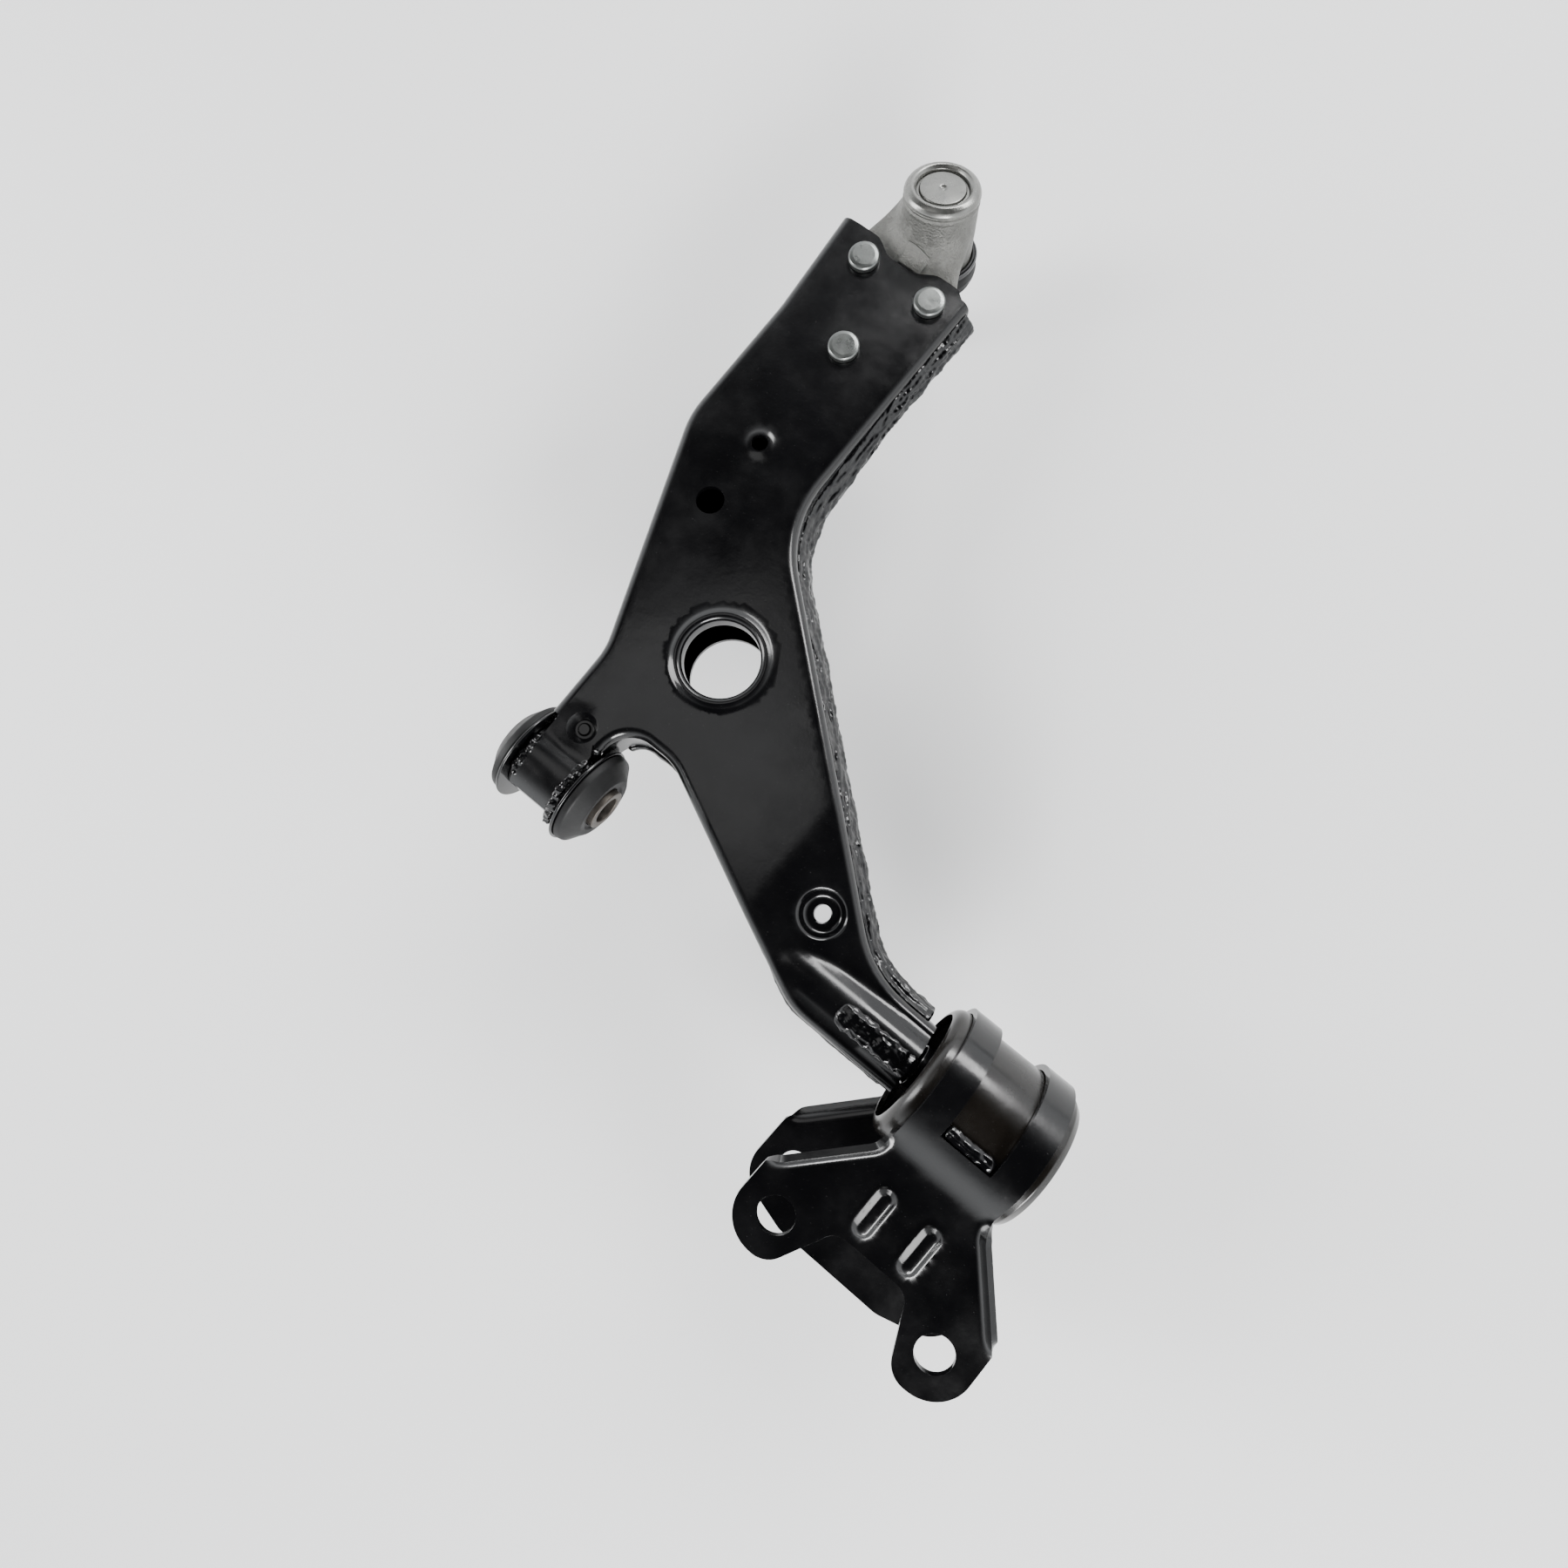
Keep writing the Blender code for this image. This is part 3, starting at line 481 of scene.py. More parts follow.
def nose_edge(x):
    return 306.5 - 6 * smooth((20 - abs(x + 26)) / 14) - 2 * smooth((x - 2) / 12)


def upper_outer_end(x, y):
    return seam_height(x, y) + 10.5 - 6.0 * smooth((y - 160) / 80) - 7.5 * smooth((x - 112) / 58)


def shell(name, depths, side, height, wall_end, holes, extra, grid, node):
    sides = (OUTER_SIDE, INNER_SIDE, LEFT_SIDE)
    walls = [inset(spaced(rounded(path), 3.0), depth) for path, depth in zip(sides, depths)]
    tail = [Vector((214, y)) for y in (12, 9, 6, 3, 0, -3, -5)]
    tongue = [Vector((12.5, y)) for y in (16, 12, 9, 6, 3, 0, -3, -6, -9, -12, -15)]
    tip = [Vector((x, -17)) for x in (12.5, 9, 6, 3, 0, -3, -6, -9, -12.5)]
    tongue += tip + [Vector((-p.x, p.y)) for p in tongue[::-1]]
    nose = []
    for i in range(30):
        x = -57 + i * 2.15
        nose.append(Vector((x, nose_edge(x) - (0 if side > 0 else 1))))
    verts = []
    faces = []
    loop = []
    for path, link in zip(walls, (tail, tongue, nose)):
        crown = inset(path, BEND)
        low_end = wall_end
        if side > 0 and path is walls[0]:
            low_end = upper_outer_end
        rows = [[(p.x, p.y, low_end(p.x, p.y)) for p in path]]
        first = [height(c.x, c.y) - side * BEND for c in crown]
        low = rows[0]
        rows.append([(p.x, p.y, (a[2] + b) / 2) for p, a, b in zip(path, low, first)])
        for angle in range(0, 91, 10):
            lean = math.radians(angle)
            line = inset(path, BEND * (1 - math.cos(lean)))
            drop = side * BEND * (1 - math.sin(lean))
            rows.append([(p.x, p.y, height(c.x, c.y) - drop) for p, c in zip(line, crown)])
        base = len(verts)
        count = len(path)
        for row in rows:
            verts += row
        for r in range(len(rows) - 1):
            for i in range(count - 1):
                a = base + r * count + i
                faces.append((a, a + 1, a + count + 1, a + count))
        loop += list(range(base + (len(rows) - 1) * count, base + len(rows) * count))
        for p in link:
            loop.append(len(verts))
            verts.append((p.x, p.y, height(p.x, p.y)))
    rims = []
    for x, y, radius, depth_down in holes:
        count = max(20, int(radius * 4))
        steps = [(0.0, 0.0)]
        if depth_down:
            turns = [math.radians(a) for a in range(0, 91, 15)]
            steps = [(SHEET * (1 - math.sin(t)), SHEET * (1 - math.cos(t))) for t in turns]
            steps.append((0.0, depth_down))
        base = len(verts)
        for out, drop in steps:
            for p, q in zip(ring(x, y, radius + out, count), ring(x, y, radius + steps[0][0], count)):
                verts.append((p.x, p.y, height(q.x, q.y) - side * drop))
        for r in range(len(steps) - 1):
            for i in range(count):
                j = (i + 1) % count
                a = base + r * count
                faces.append((a + i, a + j, a + count + j, a + count + i))
        rims.append(list(range(base, base + count)))
    faces += fill(verts, loop, rims, extra, height, grid)
    obj = piece(name, verts, faces, ARM, PAINT, "arm", [node], 60)
    thicken(obj, side)
    return obj


feature_rings = [ring(*BIG_HOLE[:2], r, 80) for r in (22.5, 24, 25.5)]
feature_rings += [ring(*DIMPLE, r, 56) for r in (6.5, 7.8, 9, 10.3, 11.4, 12.3)]
feature_rings += [ring(*SMALL_HOLES[0][:2], r, 32) for r in (5.2, 6.6, 8.4)]
feature_rings += [ring(*PIP, r, 32) for r in (2.5, 3.3, 4.4, 6.0, 7.6)]
rivet_holes = [(x, y, RIVET_HOLE, 0) for x, y in RIVETS]
drain = (*DIMPLE, DRAIN_RADIUS, 0)
upper_holes = [(*BIG_HOLE, COLLAR_DEPTH), drain, *[(x, y, r, 0) for x, y, r in SMALL_HOLES], *rivet_holes]
lower_holes = [(*BIG_HOLE[:2], LOWER_BIG_HOLE, 0), drain, *rivet_holes]
upper_depths = (3.4, -1.2, -3.0)
lower_depths = (3.3, 2.1, 0.3)
shell(
    "upper_shell_skin", upper_depths, 1, upper_height, seam_height, upper_holes, feature_rings, 3.0,
    "upper_shell",
)
shell(
    "lower_shell_skin", lower_depths, -1, lower_height, lower_wall_end, lower_holes, [], 4.0,
    "lower_shell",
)

# ---- welds ----------------------------------------------------------------------------------


def bead(
    name, spine, section, body, nodes, matrix=ARM,
    rough=0.7, pitch=3.0, seed=0.0, ends=0.0, run=0.25, wave=0.05,
):
    """Sweep a closed section along a spine of (origin, u, v) frames with lumps and weld ripples."""
    verts = []
    n = len(section)
    marks = [0.0]
    for (a, _, _), (b, _, _) in zip(spine, spine[1:]):
        marks.append(marks[-1] + (b - a).length)
    for travel, (origin, u, v) in zip(marks, spine):
        ripple = wave * math.sin(2 * math.pi * travel / pitch)
        gap = min(travel, marks[-1] - travel)
        shrink = 1.0
        if gap < ends:
            shrink = max(0.12, math.sqrt(1 - (1 - gap / ends) ** 2))
        for a, b, loose in section:
            spot = Vector((travel * run + seed, a * 0.42, b * 0.42))
            lumps = noise.noise(spot) + 0.45 * noise.noise(spot * 2.3) + 0.15 * noise.noise(spot * 4.7)
            push = rough * lumps
            swell = 1 + loose * ripple
            reach = math.hypot(a, b) or 1.0
            push *= loose / reach
            verts.append(origin + (u * a + v * b) * shrink * (swell + push))
    faces = [tuple(range(n)), tuple(range(len(verts) - n, len(verts)))]
    for i in range(len(spine) - 1):
        for k in range(n):
            m = (k + 1) % n
            faces.append((i * n + k, i * n + m, (i + 1) * n + m, (i + 1) * n + k))
    return piece(name, verts, faces, matrix, WELD, body, nodes, 75)


def seam_bead(name, corners, keep, node, seed, section, back=0.0, rough=0.8):
    path = [p for p in spaced(rounded(corners), 0.7) if keep(p)]
    line = inset(path, back)
    spine = []
    for p, q in zip(path, line):
        ahead = path[min(len(path) - 1, path.index(p) + 1)] - path[max(0, path.index(p) - 1)]
        out = Vector((-ahead.y, ahead.x)).normalized()
        tall = 1 - 0.4 * smooth((p.y - 160) / 80) - 0.35 * smooth((p.x - 112) / 58)
        origin = Vector((q.x, q.y, seam_height(p.x, p.y)))
        spine.append((origin, Vector((out.x, out.y, 0)), Vector((0, 0, tall))))
    return bead(name, spine, section, "arm", [node], rough=rough, seed=seed, ends=2.0, run=0.11, wave=0.012)


def fine(corners, gap=0.8):
    """Closed section with evenly spaced points; loose where the last value says so."""
    points = []
    for (a, b, free), (c, d, _) in zip(corners, corners[1:] + corners[:1]):
        count = max(1, round(math.hypot(c - a, d - b) / gap))
        for i in range(count):
            t = i / count
            points.append((a + (c - a) * t, b + (d - b) * t, free))
    return points


wide = fine([
    (-3.6, -4.0, 0), (-3.6, 10.0, 0), (0.3, 11.0, 1), (1.8, 9.0, 1), (3.9, 6.2, 1), (5.6, 2.4, 1),
    (6.2, -1.4, 1), (5.2, -4.4, 0.6), (3.0, -6.0, 0),
])
slim = fine([
    (-2.4, 1.0, 0), (-0.2, 1.0, 0), (0.9, 0.6, 0.6), (1.9, -1.2, 1), (1.6, -3.2, 1), (0.2, -4.8, 1),
    (-1.6, -5.4, 0.6), (-2.6, -4.6, 0),
])


def outer_run(p):
    return p.y < 302.6 and p.x < 211


def inner_run(p):
    return p.x < 211 and (p.y > 30 or p.x > 20)


def left_run(p):
    return 30 < p.y < 300


seam_bead("outer_seam_bead", OUTER_SIDE, outer_run, "outer_seam_weld", 0.0, wide, 3.4, 1.3)
seam_bead("inner_seam_bead", INNER_SIDE, inner_run, "inner_seam_weld", 40.0, slim, -1.0)
seam_bead("left_seam_bead", LEFT_SIDE, left_run, "left_seam_weld", 80.0, slim, -2.8)

slot_spine = []
for i in range(104):
    x = 173.5 + i * 0.42
    origin = Vector((x, -1.5, upper_height(x, -1.5) - 1.4))
    slot_spine.append((origin, Vector((0, 1, 0)), Vector((0, 0, 1))))
slot_section = []
for k in range(23):
    t = math.pi * k / 22
    slot_section.append((5.9 * math.cos(t), 3.2 * math.sin(t) ** 0.7, 1 if 0 < k < 22 else 0))
slot_section += [(-4.0, -1.2, 0), (4.0, -1.2, 0)]
bead(
    "slot_bead", slot_spine, slot_section, "arm", ["slot_weld"],
    rough=0.9, pitch=5.5, seed=120.0, ends=5.0, run=0.12,
)

for label, sign, start, sweep, lift in (("front", -1, 58.0, 76.0, 0.0), ("rear", 1, 46.0, 122.0, 0.5)):
    spine = []
    for i in range(130):
        t = math.radians(start + sweep * i / 129)
        radial = Vector((0, math.cos(t), math.sin(t)))
        spine.append((radial * 19.0 + Vector((sign * 11.6, 0, 0)), Vector((sign, 0, 0)), radial))
    section = fine([
        (-1.6, 0, 0), (4.3, 0, 0), (4.4, 1.0, 1), (3.4, 2.6 + lift, 1), (1.6, 4.2 + lift, 1),
        (-0.6, 4.3 + lift, 1), (-1.8, 3.4, 0.6),
    ], 0.6)
    welds = ["eye_weld_" + label]
    bead("eye_bead_" + label, spine, section, "arm", welds, rough=1.0, seed=160.0 + sign, ends=4.0)
    spine = []
    for i in range(40):
        t = i / 39
        spot = Vector((sign * (9.5 + 3.0 * t), 24.5 - 8.0 * t, 15.8 + 1.2 * t))
        spine.append((spot, Vector((sign, 0.3, 0)).normalized(), Vector((0, 0, 1))))
    section = fine([
        (-2.8, -4.0, 0), (2.4, -4.0, 0), (3.0, -1.0, 1), (2.2, 1.6, 1), (0.4, 2.6, 1), (-1.8, 2.4, 1),
    ], 0.6)
    bead("corner_fill_" + label, spine, section, "arm", [], rough=0.6, seed=180.0 + sign, ends=4.0)

# ---- front bush -----------------------------------------------------------------------------
tube = [(-16.1, 16.9, 0.4), (16.1, 16.9, 0.4), (16.1, 19.2, 0.5), (-16.1, 19.2, 0.5)]
lathe("eye_tube", tube, ARM, PAINT, "arm", ["front_eye_tube"])
for label, s in (("front", -1), ("rear", 1)):
    liner = [
        (0.6, 15.4, 0), (17.9, 15.4, 0.5), (17.9, 26.0, 0.7), (16.4, 26.4, 0.7), (16.4, 16.6, 0.5),
        (0.6, 16.6, 0),
    ]
    liner = [(s * a, r, f) for a, r, f in liner]
    lathe("eye_flange_" + label, liner, ARM, PAINT, "arm", ["bush_flange_" + label], count=120)
    pad = [
        (0.6, 11.0, 0), (26.4, 11.0, 0.4), (26.4, 12.6, 0.5), (27.4, 13.4, 0.6), (27.6, 16.4, 1.5),
        (25.2, 19.6, 3.0), (21.8, 24.6, 2.0), (18.1, 25.3, 0.8), (18.1, 15.1, 0.3), (0.6, 15.1, 0),
    ]
    pad = [(s * a, r, f) for a, r, f in pad]
    lathe("eye_bumper_" + label, pad, ARM, RUBBER, "arm", ["front_bush_rubber_" + label], wobble=0.25)
inner = [(-29.5, 7.1, 0.7), (29.5, 7.1, 0.7), (29.5, 10.7, 0.5), (-29.5, 10.7, 0.5)]
lathe("eye_sleeve", inner, ARM, SLEEVE, "front_pivot_sleeve", ["front_bush_sleeve"])

# ---- ball joint -----------------------------------------------------------------------------
body = [
    (-2.6, 13.2, 0.4), (-1.6, 14.2, 0.6), (-2.2, 17.6, 1.2), (-4.4, 18.7, 0.5), (-5.2, 18.3, 0.4),
    (-6.2, 18.9, 0.8), (-7.8, 18.6, 1.0), (-20.0, 19.0, 2.0), (-37.4, 19.3, 1.0), (-38.2, 18.2, 0.6),
    (-38.2, 16.2, 0.4),
    (-26.2, 11.3, 0.6), (-22.0, 13.9, 1.0), (-3.6, 13.9, 0.3), (-3.6, 13.2, 0.3),
]
lathe("joint_body", body, JOINT, FORGED, "arm", ["ball_joint_housing"], axis="Z", count=120)


def plate_outline():
    """Forged plate: two ears under the shell and a parallel neck up to the joint body."""
    corners = [
        (-7.0, 332.0, 4), (-3.6, 321.0, 16), (-0.8, 315.0, 12), (4.5, 306.0, 8), (7.0, 284.0, 9),
        (-12.0, 238.6, 9), (-29.6, 238.6, 9), (-51.6, 282.0, 9), (-53.6, 305.0, 10), (-52.0, 315.0, 30),
        (-47.4, 335.0, 6),
        (-40.0, 342.0, 4), (-14.0, 342.0, 4),
    ]
    return spaced(rounded(corners, 8, closed=True), 1.8)


def plate_top(x, y):
    """Flat plate that sweeps up to the joint body in a wide fillet, with a small raised pad."""
    far = math.hypot(x + 26.4, y - 331.6)
    t = min(1.0, max(0.0, (far - 18.8) / 11.5))
    lift = 13.2 * (1 - math.sqrt(1 - (1 - t) ** 2))
    pad = smooth((6.9 - abs(x + 23.0)) / 0.5) * smooth((4.4 - abs(y - 307.0)) / 0.5)
    return 16.7 + lift + 1.1 * pad


outline = plate_outline()
if sum(a.x * b.y - b.x * a.y for a, b in zip(outline, outline[1:] + outline[:1])) > 0:
    outline = outline[::-1]
levels = [(10.8, 1.2), (11.2, 0.4), (12.0, 0.0), (15.2, 0.0), (16.2, 0.4), (16.7, 1.2)]
verts = []
closed_line = outline + [outline[0]]
for z, back in levels:
    line = inset(closed_line, back)[:-1]
    for p in line:
        rise = plate_top(p.x, p.y) - 16.7 if z > 15 else 0.0
        verts.append((p.x, p.y, z + rise * (1.0 if z > 16.5 else 0.9)))
n = len(outline)
faces = []
for r in range(len(levels) - 1):
    for i in range(n):
        j = (i + 1) % n
        faces.append((r * n + i, r * n + j, (r + 1) * n + j, (r + 1) * n + i))
pads = []
for half_x, half_y in ((6.4, 3.9), (6.9, 4.4)):
    turns = ((-1, -1), (1, -1), (1, 1), (-1, 1), (-1, -1))
    corners = [Vector((-23 + a * half_x, 307 + b * half_y)) for a, b in turns]
    pads.append(spaced(corners, 1.5)[:-1])
faces += fill(verts, list(range((len(levels) - 1) * n, len(levels) * n)), [], pads, plate_top, 1.6)
faces += fill(verts, list(range(n)), [], [], lambda x, y: 10.8, 4.0)
piece("joint_plate", verts, faces, ARM, FORGED, "arm", ["ball_joint_housing"], 50)

cover = [
    (-3.4, 0.0, 0), (-3.4, 13.0, 0), (-2.6, 13.0, 0.2), (-2.5, 12.0, 0.3), (-2.5, 11.7, 0.2),
    (-1.3, 11.2, 0.5), (-1.2, 2.0, 1.0), (-1.9, 1.1, 0.5), (-1.7, 0.0, 0),
]
lathe("joint_cover", cover, JOINT, TURNED, "arm", ["ball_joint_cover"], axis="Z", count=120)
crimp = [
    (-2.5, 13.0, 0.3), (-1.2, 13.2, 0.5), (0.1, 14.4, 1.0), (0.2, 15.9, 1.4), (-1.0, 17.9, 1.8),
    (-2.6, 18.8, 1.0),
    (-3.6, 18.9, 0.4), (-3.7, 18.2, 0.2), (-2.6, 16.0, 0.8),
]
lathe("joint_crimp", crimp, JOINT, TURNED, "arm", [], axis="Z", count=120)
centre = -17.5
seat = [(-3.7, 0.0, 0), (-3.7, 13.5, 0.5), (-21.6, 13.5, 1), (-25.7, 10.6, 0)]
for angle in range(-38, 91, 8):
    t = math.radians(angle)
    seat.append((centre + 12.8 * math.sin(t), max(0.0, 12.8 * math.cos(t)), 0))
seat[-1] = (centre + 12.8, 0.0, 0)
lathe("joint_seat", seat, JOINT, NYLON, "arm", ["ball_seat"], axis="Z", count=64)
stud = [(centre + 12.5, 0.0, 0)]
for angle in range(82, -46, -8):
    t = math.radians(angle)
    stud.append((centre + 12.5 * math.sin(t), 12.5 * math.cos(t), 0))
stud += [
    (-27.5, 7.2, 1.5), (-46.0, 7.6, 3), (-51.0, 8.5, 1), (-67.0, 8.5, 0.6), (-68.5, 7.3, 1.2),
    (-72.5, 7.3, 1.2), (-74.0, 8.5, 0.6), (-86.0, 8.5, 0.8), (-88.0, 6.8, 0.6), (-88.0, 2.2, 0.3),
    (-86.6, 0.6, 0.3), (-86.6, 0.0, 0),
]
lathe("joint_stud", stud, JOINT, TURNED, "stud", ["ball_stud"], axis="Z", count=72)
skin = [
    (-34.0, 21.0), (-36.0, 21.3), (-37.6, 21.2), (-39.0, 22.2), (-41.2, 23.0), (-43.2, 22.8), (-44.6, 21.6),
    (-46.4, 22.0),
]
lining = [(-46.4, 20.0), (-45.0, 19.9), (-42.6, 20.9), (-38.6, 19.8), (-34.0, 19.8)]
boot_halves = [("upper", skin + lining, "arm", "boot", -36.5, -45.5)]
skin = [
    (-46.1, 21.9), (-48.0, 20.6), (-49.4, 18.4), (-51.2, 17.6), (-52.8, 15.0), (-54.6, 12.7), (-58.5, 11.8),
]
lining = [(-58.5, 8.9), (-53.4, 8.9), (-49.4, 14.2), (-46.1, 20.0)]
boot_halves.append(("lower", skin + lining, "boot", "boot_ring", -46.5, -51.5))
for label, section, first_body, last_body, top, low in boot_halves:
    section = [(a, r, 0.5) for a, r in section]
    half = lathe("joint_boot_" + label, section, JOINT, RUBBER, None, ["dust_boot"], axis="Z")
    top = JOINT @ Vector((0, 0, top * MM))
    low = JOINT @ Vector((0, 0, low * MM))
    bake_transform(half)
for name, section, body_name in (
    ("boot_upper_ring", [(-34.6, 21.3), (-34.6, 22.4), (-36.9, 22.4), (-36.9, 21.5)], "arm"),
    ("boot_lower_ring", [(-54.9, 12.9), (-54.9, 14.1), (-57.8, 13.5), (-57.8, 12.1)], "boot_ring"),
):
    section = [(a, r, 0.35) for a, r in section]
    lathe("clip_" + name, section, JOINT, RING, body_name, [name], axis="Z", count=72)

rivet = [
    (24.0, 0.0, 0), (24.1, 5.5, 1), (23.8, 7.3, 1.0), (22.8, 7.9, 0.8), (20.3, 7.7, 0.4), (20.3, 5.0, 0),
    (7.1, 5.0, 0), (7.1, 7.6, 0.5), (4.0, 7.0, 1.6), (3.0, 5.2, 1), (3.0, 0.0, 0),
]
for i, (x, y) in enumerate(RIVETS, 1):
    place = ARM @ Matrix.Translation(Vector((x, y, 0)) * MM)
    lathe(f"rivet_head_{i}", rivet, place, ZINC, "arm", [f"rivet_{i}"], axis="Z", count=64, wobble=0.12)

# ---- tail shaft and rear bush ---------------------------------------------------------------
rear = 250.0
shaft = [
    (170, 0.0, 0), (170, 7.0, 0.5), (171, 7.8, 0.5), (214.5, 7.8, 0.5), (216.5, 10.7, 1),
    (rear + 29, 10.7, 0.8), (rear + 30, 9.7, 0.5), (rear + 30, 0.0, 0),
]
lathe("shaft", shaft, ARM, PAINT, "arm", ["tail_shaft"], count=72)
sleeve = [(rear - 26, 11.0, 0.4), (rear + 28, 11.0, 0.4), (rear + 28, 13.0, 0.4), (rear - 26, 13.0, 0.4)]
lathe("rear_sleeve", sleeve, ARM, SLEEVE, "arm", ["rear_bush_sleeve"], count=72)
pad = [
    (-20, 13.3, 0.5), (-22, 15.0, 2), (-17, 22.0, 5), (-20, 31.2, 2), (25, 31.2, 2), (23, 22.0, 5),
    (27, 15.0, 2), (26, 13.3, 0.5),
]
lathe("rear_rubber", pad, BRACKET, RUBBER, "bracket", ["rear_bush_rubber"], count=96)
can = []
for radius, angles in ((5.5, range(0, 91, 9)), (3.1, range(90, -1, -15))):
    for t in [math.radians(a) for a in angles]:
        can.append((-28.0 - radius * math.sin(t), 28.4 + radius * math.cos(t), 0))
can += [(29.0, 31.5, 1), (31.6, 29.6, 0.4), (33.4, 29.6, 0.4), (33.4, 31.6, 1.0), (30.2, 33.9, 1.5)]
lathe("rear_can", can, BRACKET, CAN, "bracket", ["rear_bush_can"], count=144)

# ---- bracket --------------------------------------------------------------------------------
STRAP = 37.5
HALF = 26.6
BAND = 12.9
BOLT = (43.0, -83.5)
SEAM_Y = -8.0
NECK = [(-HALF, -22, 0), (-27.5, -30, 12), (-61, -68, 0)]
UPPER_EDGE = [
    (-61, -68, 0), (-62.5, -103, 19), (-34, -104, 12), (-19, -71.5, 8), (19, -71.5, 8), (34, -104, 12),
    (62.5, -103, 19), (61, -68, 0),
]
LOWER_EDGE = [
    (-61, -68, 0), (-62.5, -103, 18), (-30, -112.5, 14), (30, -112.5, 14), (62.5, -103, 18), (61, -68, 0),
]


def plate_height(x, y):
    barrel = math.sqrt(max(STRAP ** 2 - y * y, 1.0)) if y > -STRAP else 0.0
    along = min(-46.0, max(-62.0, y))
    far = math.hypot(abs(x) - 12.0, y - along)
    return soft_max(28.5, barrel, 5.0) + 2.6 * smooth((5.4 - far) / 3.4)


def bracket_half(edge, hole_radius, side):
    verts = []
    faces = []
    loop = []

    def add(x, y, z):
        verts.append((x, y, z))
        return len(verts) - 1

    def flat(x):
        return add(x, SEAM_Y, math.sqrt(STRAP ** 2 - SEAM_Y ** 2))

    xs = [HALF, 24.3, 22, 19.7, 17.4, 15.1, BAND]
    rows = [[flat(x) for x in xs], [flat(-x) for x in xs[::-1]]]
    between = [flat(x) for x in (10.3, 7.7, 5.1, 2.6, 0, -2.6, -5.1, -7.7, -10.3)]
    loop += rows[0] + between + rows[1]
    loop += [add(-HALF, y, plate_height(-HALF, y)) for y in (-10.5, -13, -15.5, -18)]
    neck = spaced(rounded(NECK), 2.5)
    for path in (neck, [Vector((-p.x, p.y)) for p in neck[::-1]]):
        crown = inset(path, -5.2)
        rise = []
        for i in range(len(path)):
            gap = min((path[i] - path[0]).length, (path[i] - path[-1]).length)
            rise.append(smooth(gap / 9.0))
        layers = []
        for out, lift in ((0, 0), (0.25, 0.15), (0.45, 0.7), (0.6, 1.5), (0.8, 3.2), (1.0, 5.0)):
            layers.append([])
            for c, p, k in zip(crown, path, rise):
                q = c.lerp(p, out)
                layers[-1].append(add(q.x, q.y, plate_height(c.x, c.y) + lift * k))
        for low, high in zip(layers, layers[1:]):
            for i in range(len(path) - 1):
                faces.append((low[i], low[i + 1], high[i + 1], high[i]))
        loop += [layer[0] for layer in layers[:0:-1]] + layers[0] + [layer[-1] for layer in layers[1:]]
        if path is neck:
            for p in spaced(rounded(edge), 3.0)[1:-1]:
                loop.append(add(p.x, p.y, plate_height(p.x, p.y)))
    loop += [add(HALF, y, plate_height(HALF, y)) for y in (-18, -15.5, -13, -10.5)]
    rims = [[add(p.x, p.y, 28.5) for p in ring(s * BOLT[0], BOLT[1], hole_radius, 48)] for s in (-1, 1)]
    capsules = []
    for s in (-1, 1):
        for width in (5.4, 4.2, 3.0, 2.0):
            line = []
            for angle in range(0, 180, 20):
                t = math.radians(angle)
                line.append(Vector((s * 12 + width * math.cos(t), -46 + width * math.sin(t))))
            line += [Vector((s * 12 - width, y)) for y in (-46, -50, -54, -58)]
            for angle in range(180, 360, 20):
                t = math.radians(angle)
                line.append(Vector((s * 12 + width * math.cos(t), -62 + width * math.sin(t))))
            line += [Vector((s * 12 + width, y)) for y in (-62, -58, -54, -50)]
            capsules.append(line)
    faces += fill(verts, loop, rims, capsules, plate_height, 2.6)
    return [(x, y, z * side) for x, y, z in verts], faces, rows


upper = bracket_half(UPPER_EDGE, 8.8, 1)
lower = bracket_half(LOWER_EDGE, 7.9, -1)
shift = len(upper[0])
verts = upper[0] + lower[0]
faces = upper[1] + [tuple(i + shift for i in f[::-1]) for f in lower[1]]
first = math.acos(SEAM_Y / STRAP)
for top, bottom in zip(upper[2], lower[2]):
    rows = [top]
    for t in range(1, 64):
        angle = first - 2 * first * t / 64
        row = []
        for i in top:
            row.append(len(verts))
            verts.append((verts[i][0], STRAP * math.cos(angle), STRAP * math.sin(angle)))
        rows.append(row)
    rows.append([i + shift for i in bottom])
    for a, b in zip(rows, rows[1:]):
        for i in range(len(top) - 1):
            faces.append((a[i], a[i + 1], b[i + 1], b[i]))
strap = piece("bracket_strap", verts, faces, BRACKET, PAINT, "bracket", ["rear_bracket"], 60)
work = bmesh.new()
work.from_mesh(strap.data)
if max(work.faces, key=lambda f: f.calc_center_median().z).normal.z < 0:
    bmesh.ops.reverse_faces(work, faces=work.faces)
work.to_mesh(strap.data)
work.free()
thicken(strap, 1)

for label, s in (("upper", 1), ("lower", -1)):
    spine = []
    for i in range(100):
        x = -12.6 + i * 0.255
        t = first - 0.09
        radial = Vector((0, math.cos(t), s * math.sin(t)))
        along = Vector((0, math.sin(t), -s * math.cos(t)))
        spine.append((radial * 34.2 + Vector((x, 0, 0)), along, radial))
    section = fine([
        (-2.6, 0, 0), (2.6, 0, 0), (2.8, 0.6, 1), (1.6, 2.0, 1), (-0.4, 3.2, 1), (-2.4, 3.4, 0.6),
    ], 0.5)
    bead(
        "window_bead_" + label, spine, section, "bracket", ["window_weld_" + label], matrix=BRACKET,
        rough=0.5, pitch=5.0, seed=200.0 + s, ends=3.0, run=0.14,
    )

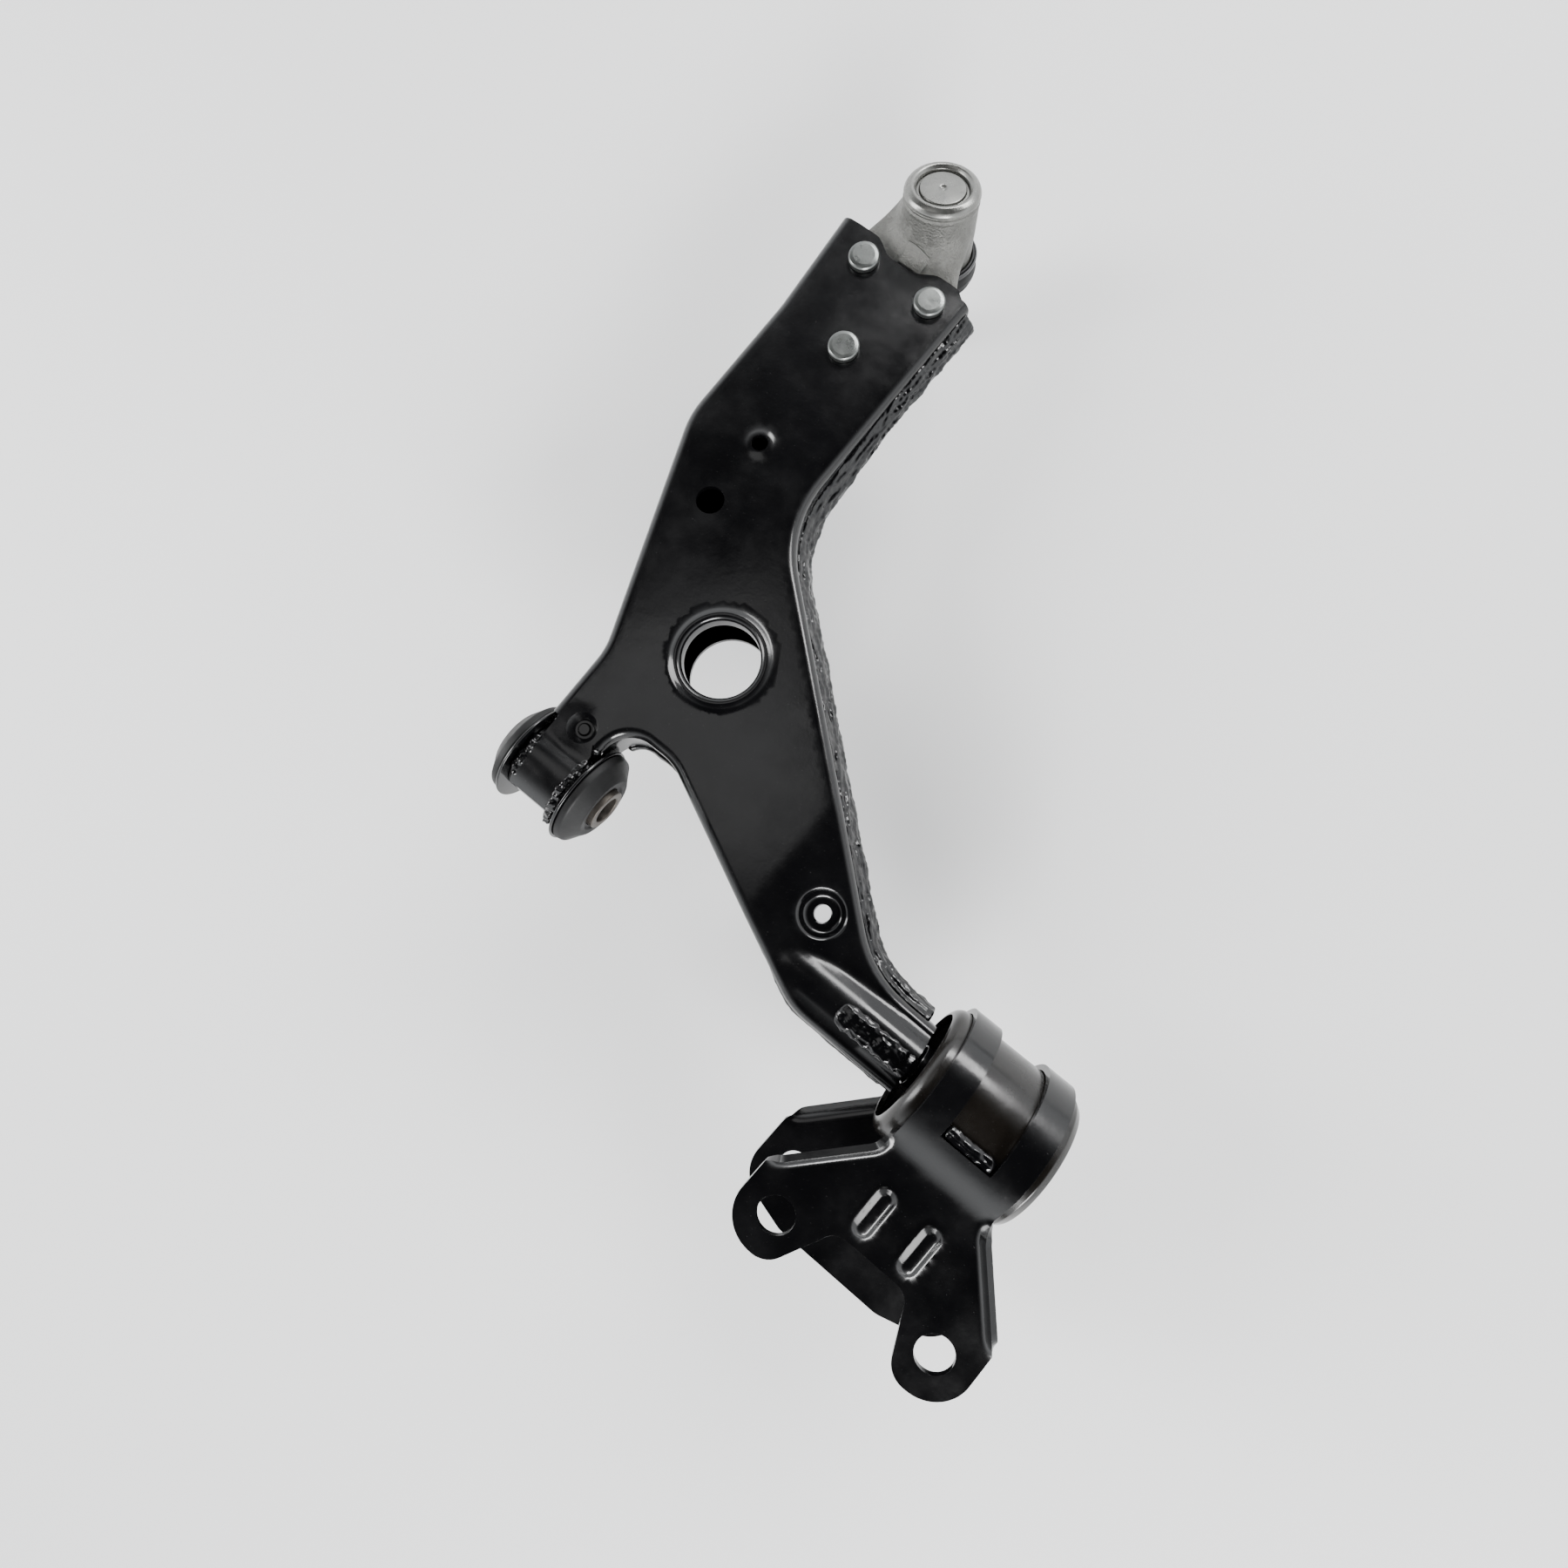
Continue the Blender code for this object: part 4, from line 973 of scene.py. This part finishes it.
# ---- stage and light ------------------------------------------------------------------------
low, high = CAD_BOX
floor_mesh = bpy.data.meshes.new("floor")
floor_mesh.from_pydata([(-12, -12, 0), (12, -12, 0), (12, 12, 0), (-12, 12, 0)], [], [(0, 1, 2, 3)])
floor = bpy.data.objects.new("floor", floor_mesh)
bpy.context.scene.collection.objects.link(floor)
floor.location.z = low[2] - 0.001
paper = Look("pale_floor", (0.88, 0.88, 0.88), 0.8)
paper.colour(paper.ramp(paper.noise(4, 3), 0.4, 0.7, 0.0, 0.2), (0.92, 0.92, 0.92))
floor_mesh.materials.append(paper.material)

world = bpy.data.worlds.new("studio")
world.use_nodes = True
sky = world.node_tree.nodes
wires = world.node_tree.links
aim = sky.new("ShaderNodeTexCoord").outputs["Generated"]
split = sky.new("ShaderNodeSeparateXYZ")
fade = sky.new("ShaderNodeMapRange")
fade.interpolation_type = "SMOOTHSTEP"
for name, value in (("From Min", 0.25), ("From Max", 0.85), ("To Min", 2.2), ("To Max", 0.02)):
    fade.inputs[name].default_value = value
wires.new(aim, split.inputs["Vector"])
wires.new(split.outputs["Z"], fade.inputs["Value"])
wires.new(fade.outputs["Result"], sky["Background"].inputs["Strength"])
sky["Background"].inputs["Color"].default_value = (0.96, 0.98, 1.0, 1)
bpy.context.scene.world = world


def softbox(name, place, target, size, power):
    light = bpy.data.lights.new(name, "AREA")
    light.shape = "RECTANGLE"
    light.size, light.size_y = size
    light.energy = power
    obj = bpy.data.objects.new(name, light)
    bpy.context.scene.collection.objects.link(obj)
    obj.location = place
    obj.rotation_euler = (Vector(target) - Vector(place)).to_track_quat("-Z", "Y").to_euler()


softbox("key", (1.2, -0.9, 0.95), (-0.1, 0.15, 0), (1.0, 0.5), 55)
softbox("left", (-1.5, -0.5, 0.9), (-0.1, 0.15, 0), (0.6, 1.2), 30)
softbox("back", (-0.2, 1.7, 0.95), (-0.1, 0.2, 0), (1.3, 0.4), 32)
sheen = (ARM @ Vector((-0.178, 0.071, 0.891)), ARM @ Vector((0.045, 0.045, 0.02)))
softbox("sheen", *sheen, (0.42, 0.42), 0.6)

bpy.context.view_layer.update()
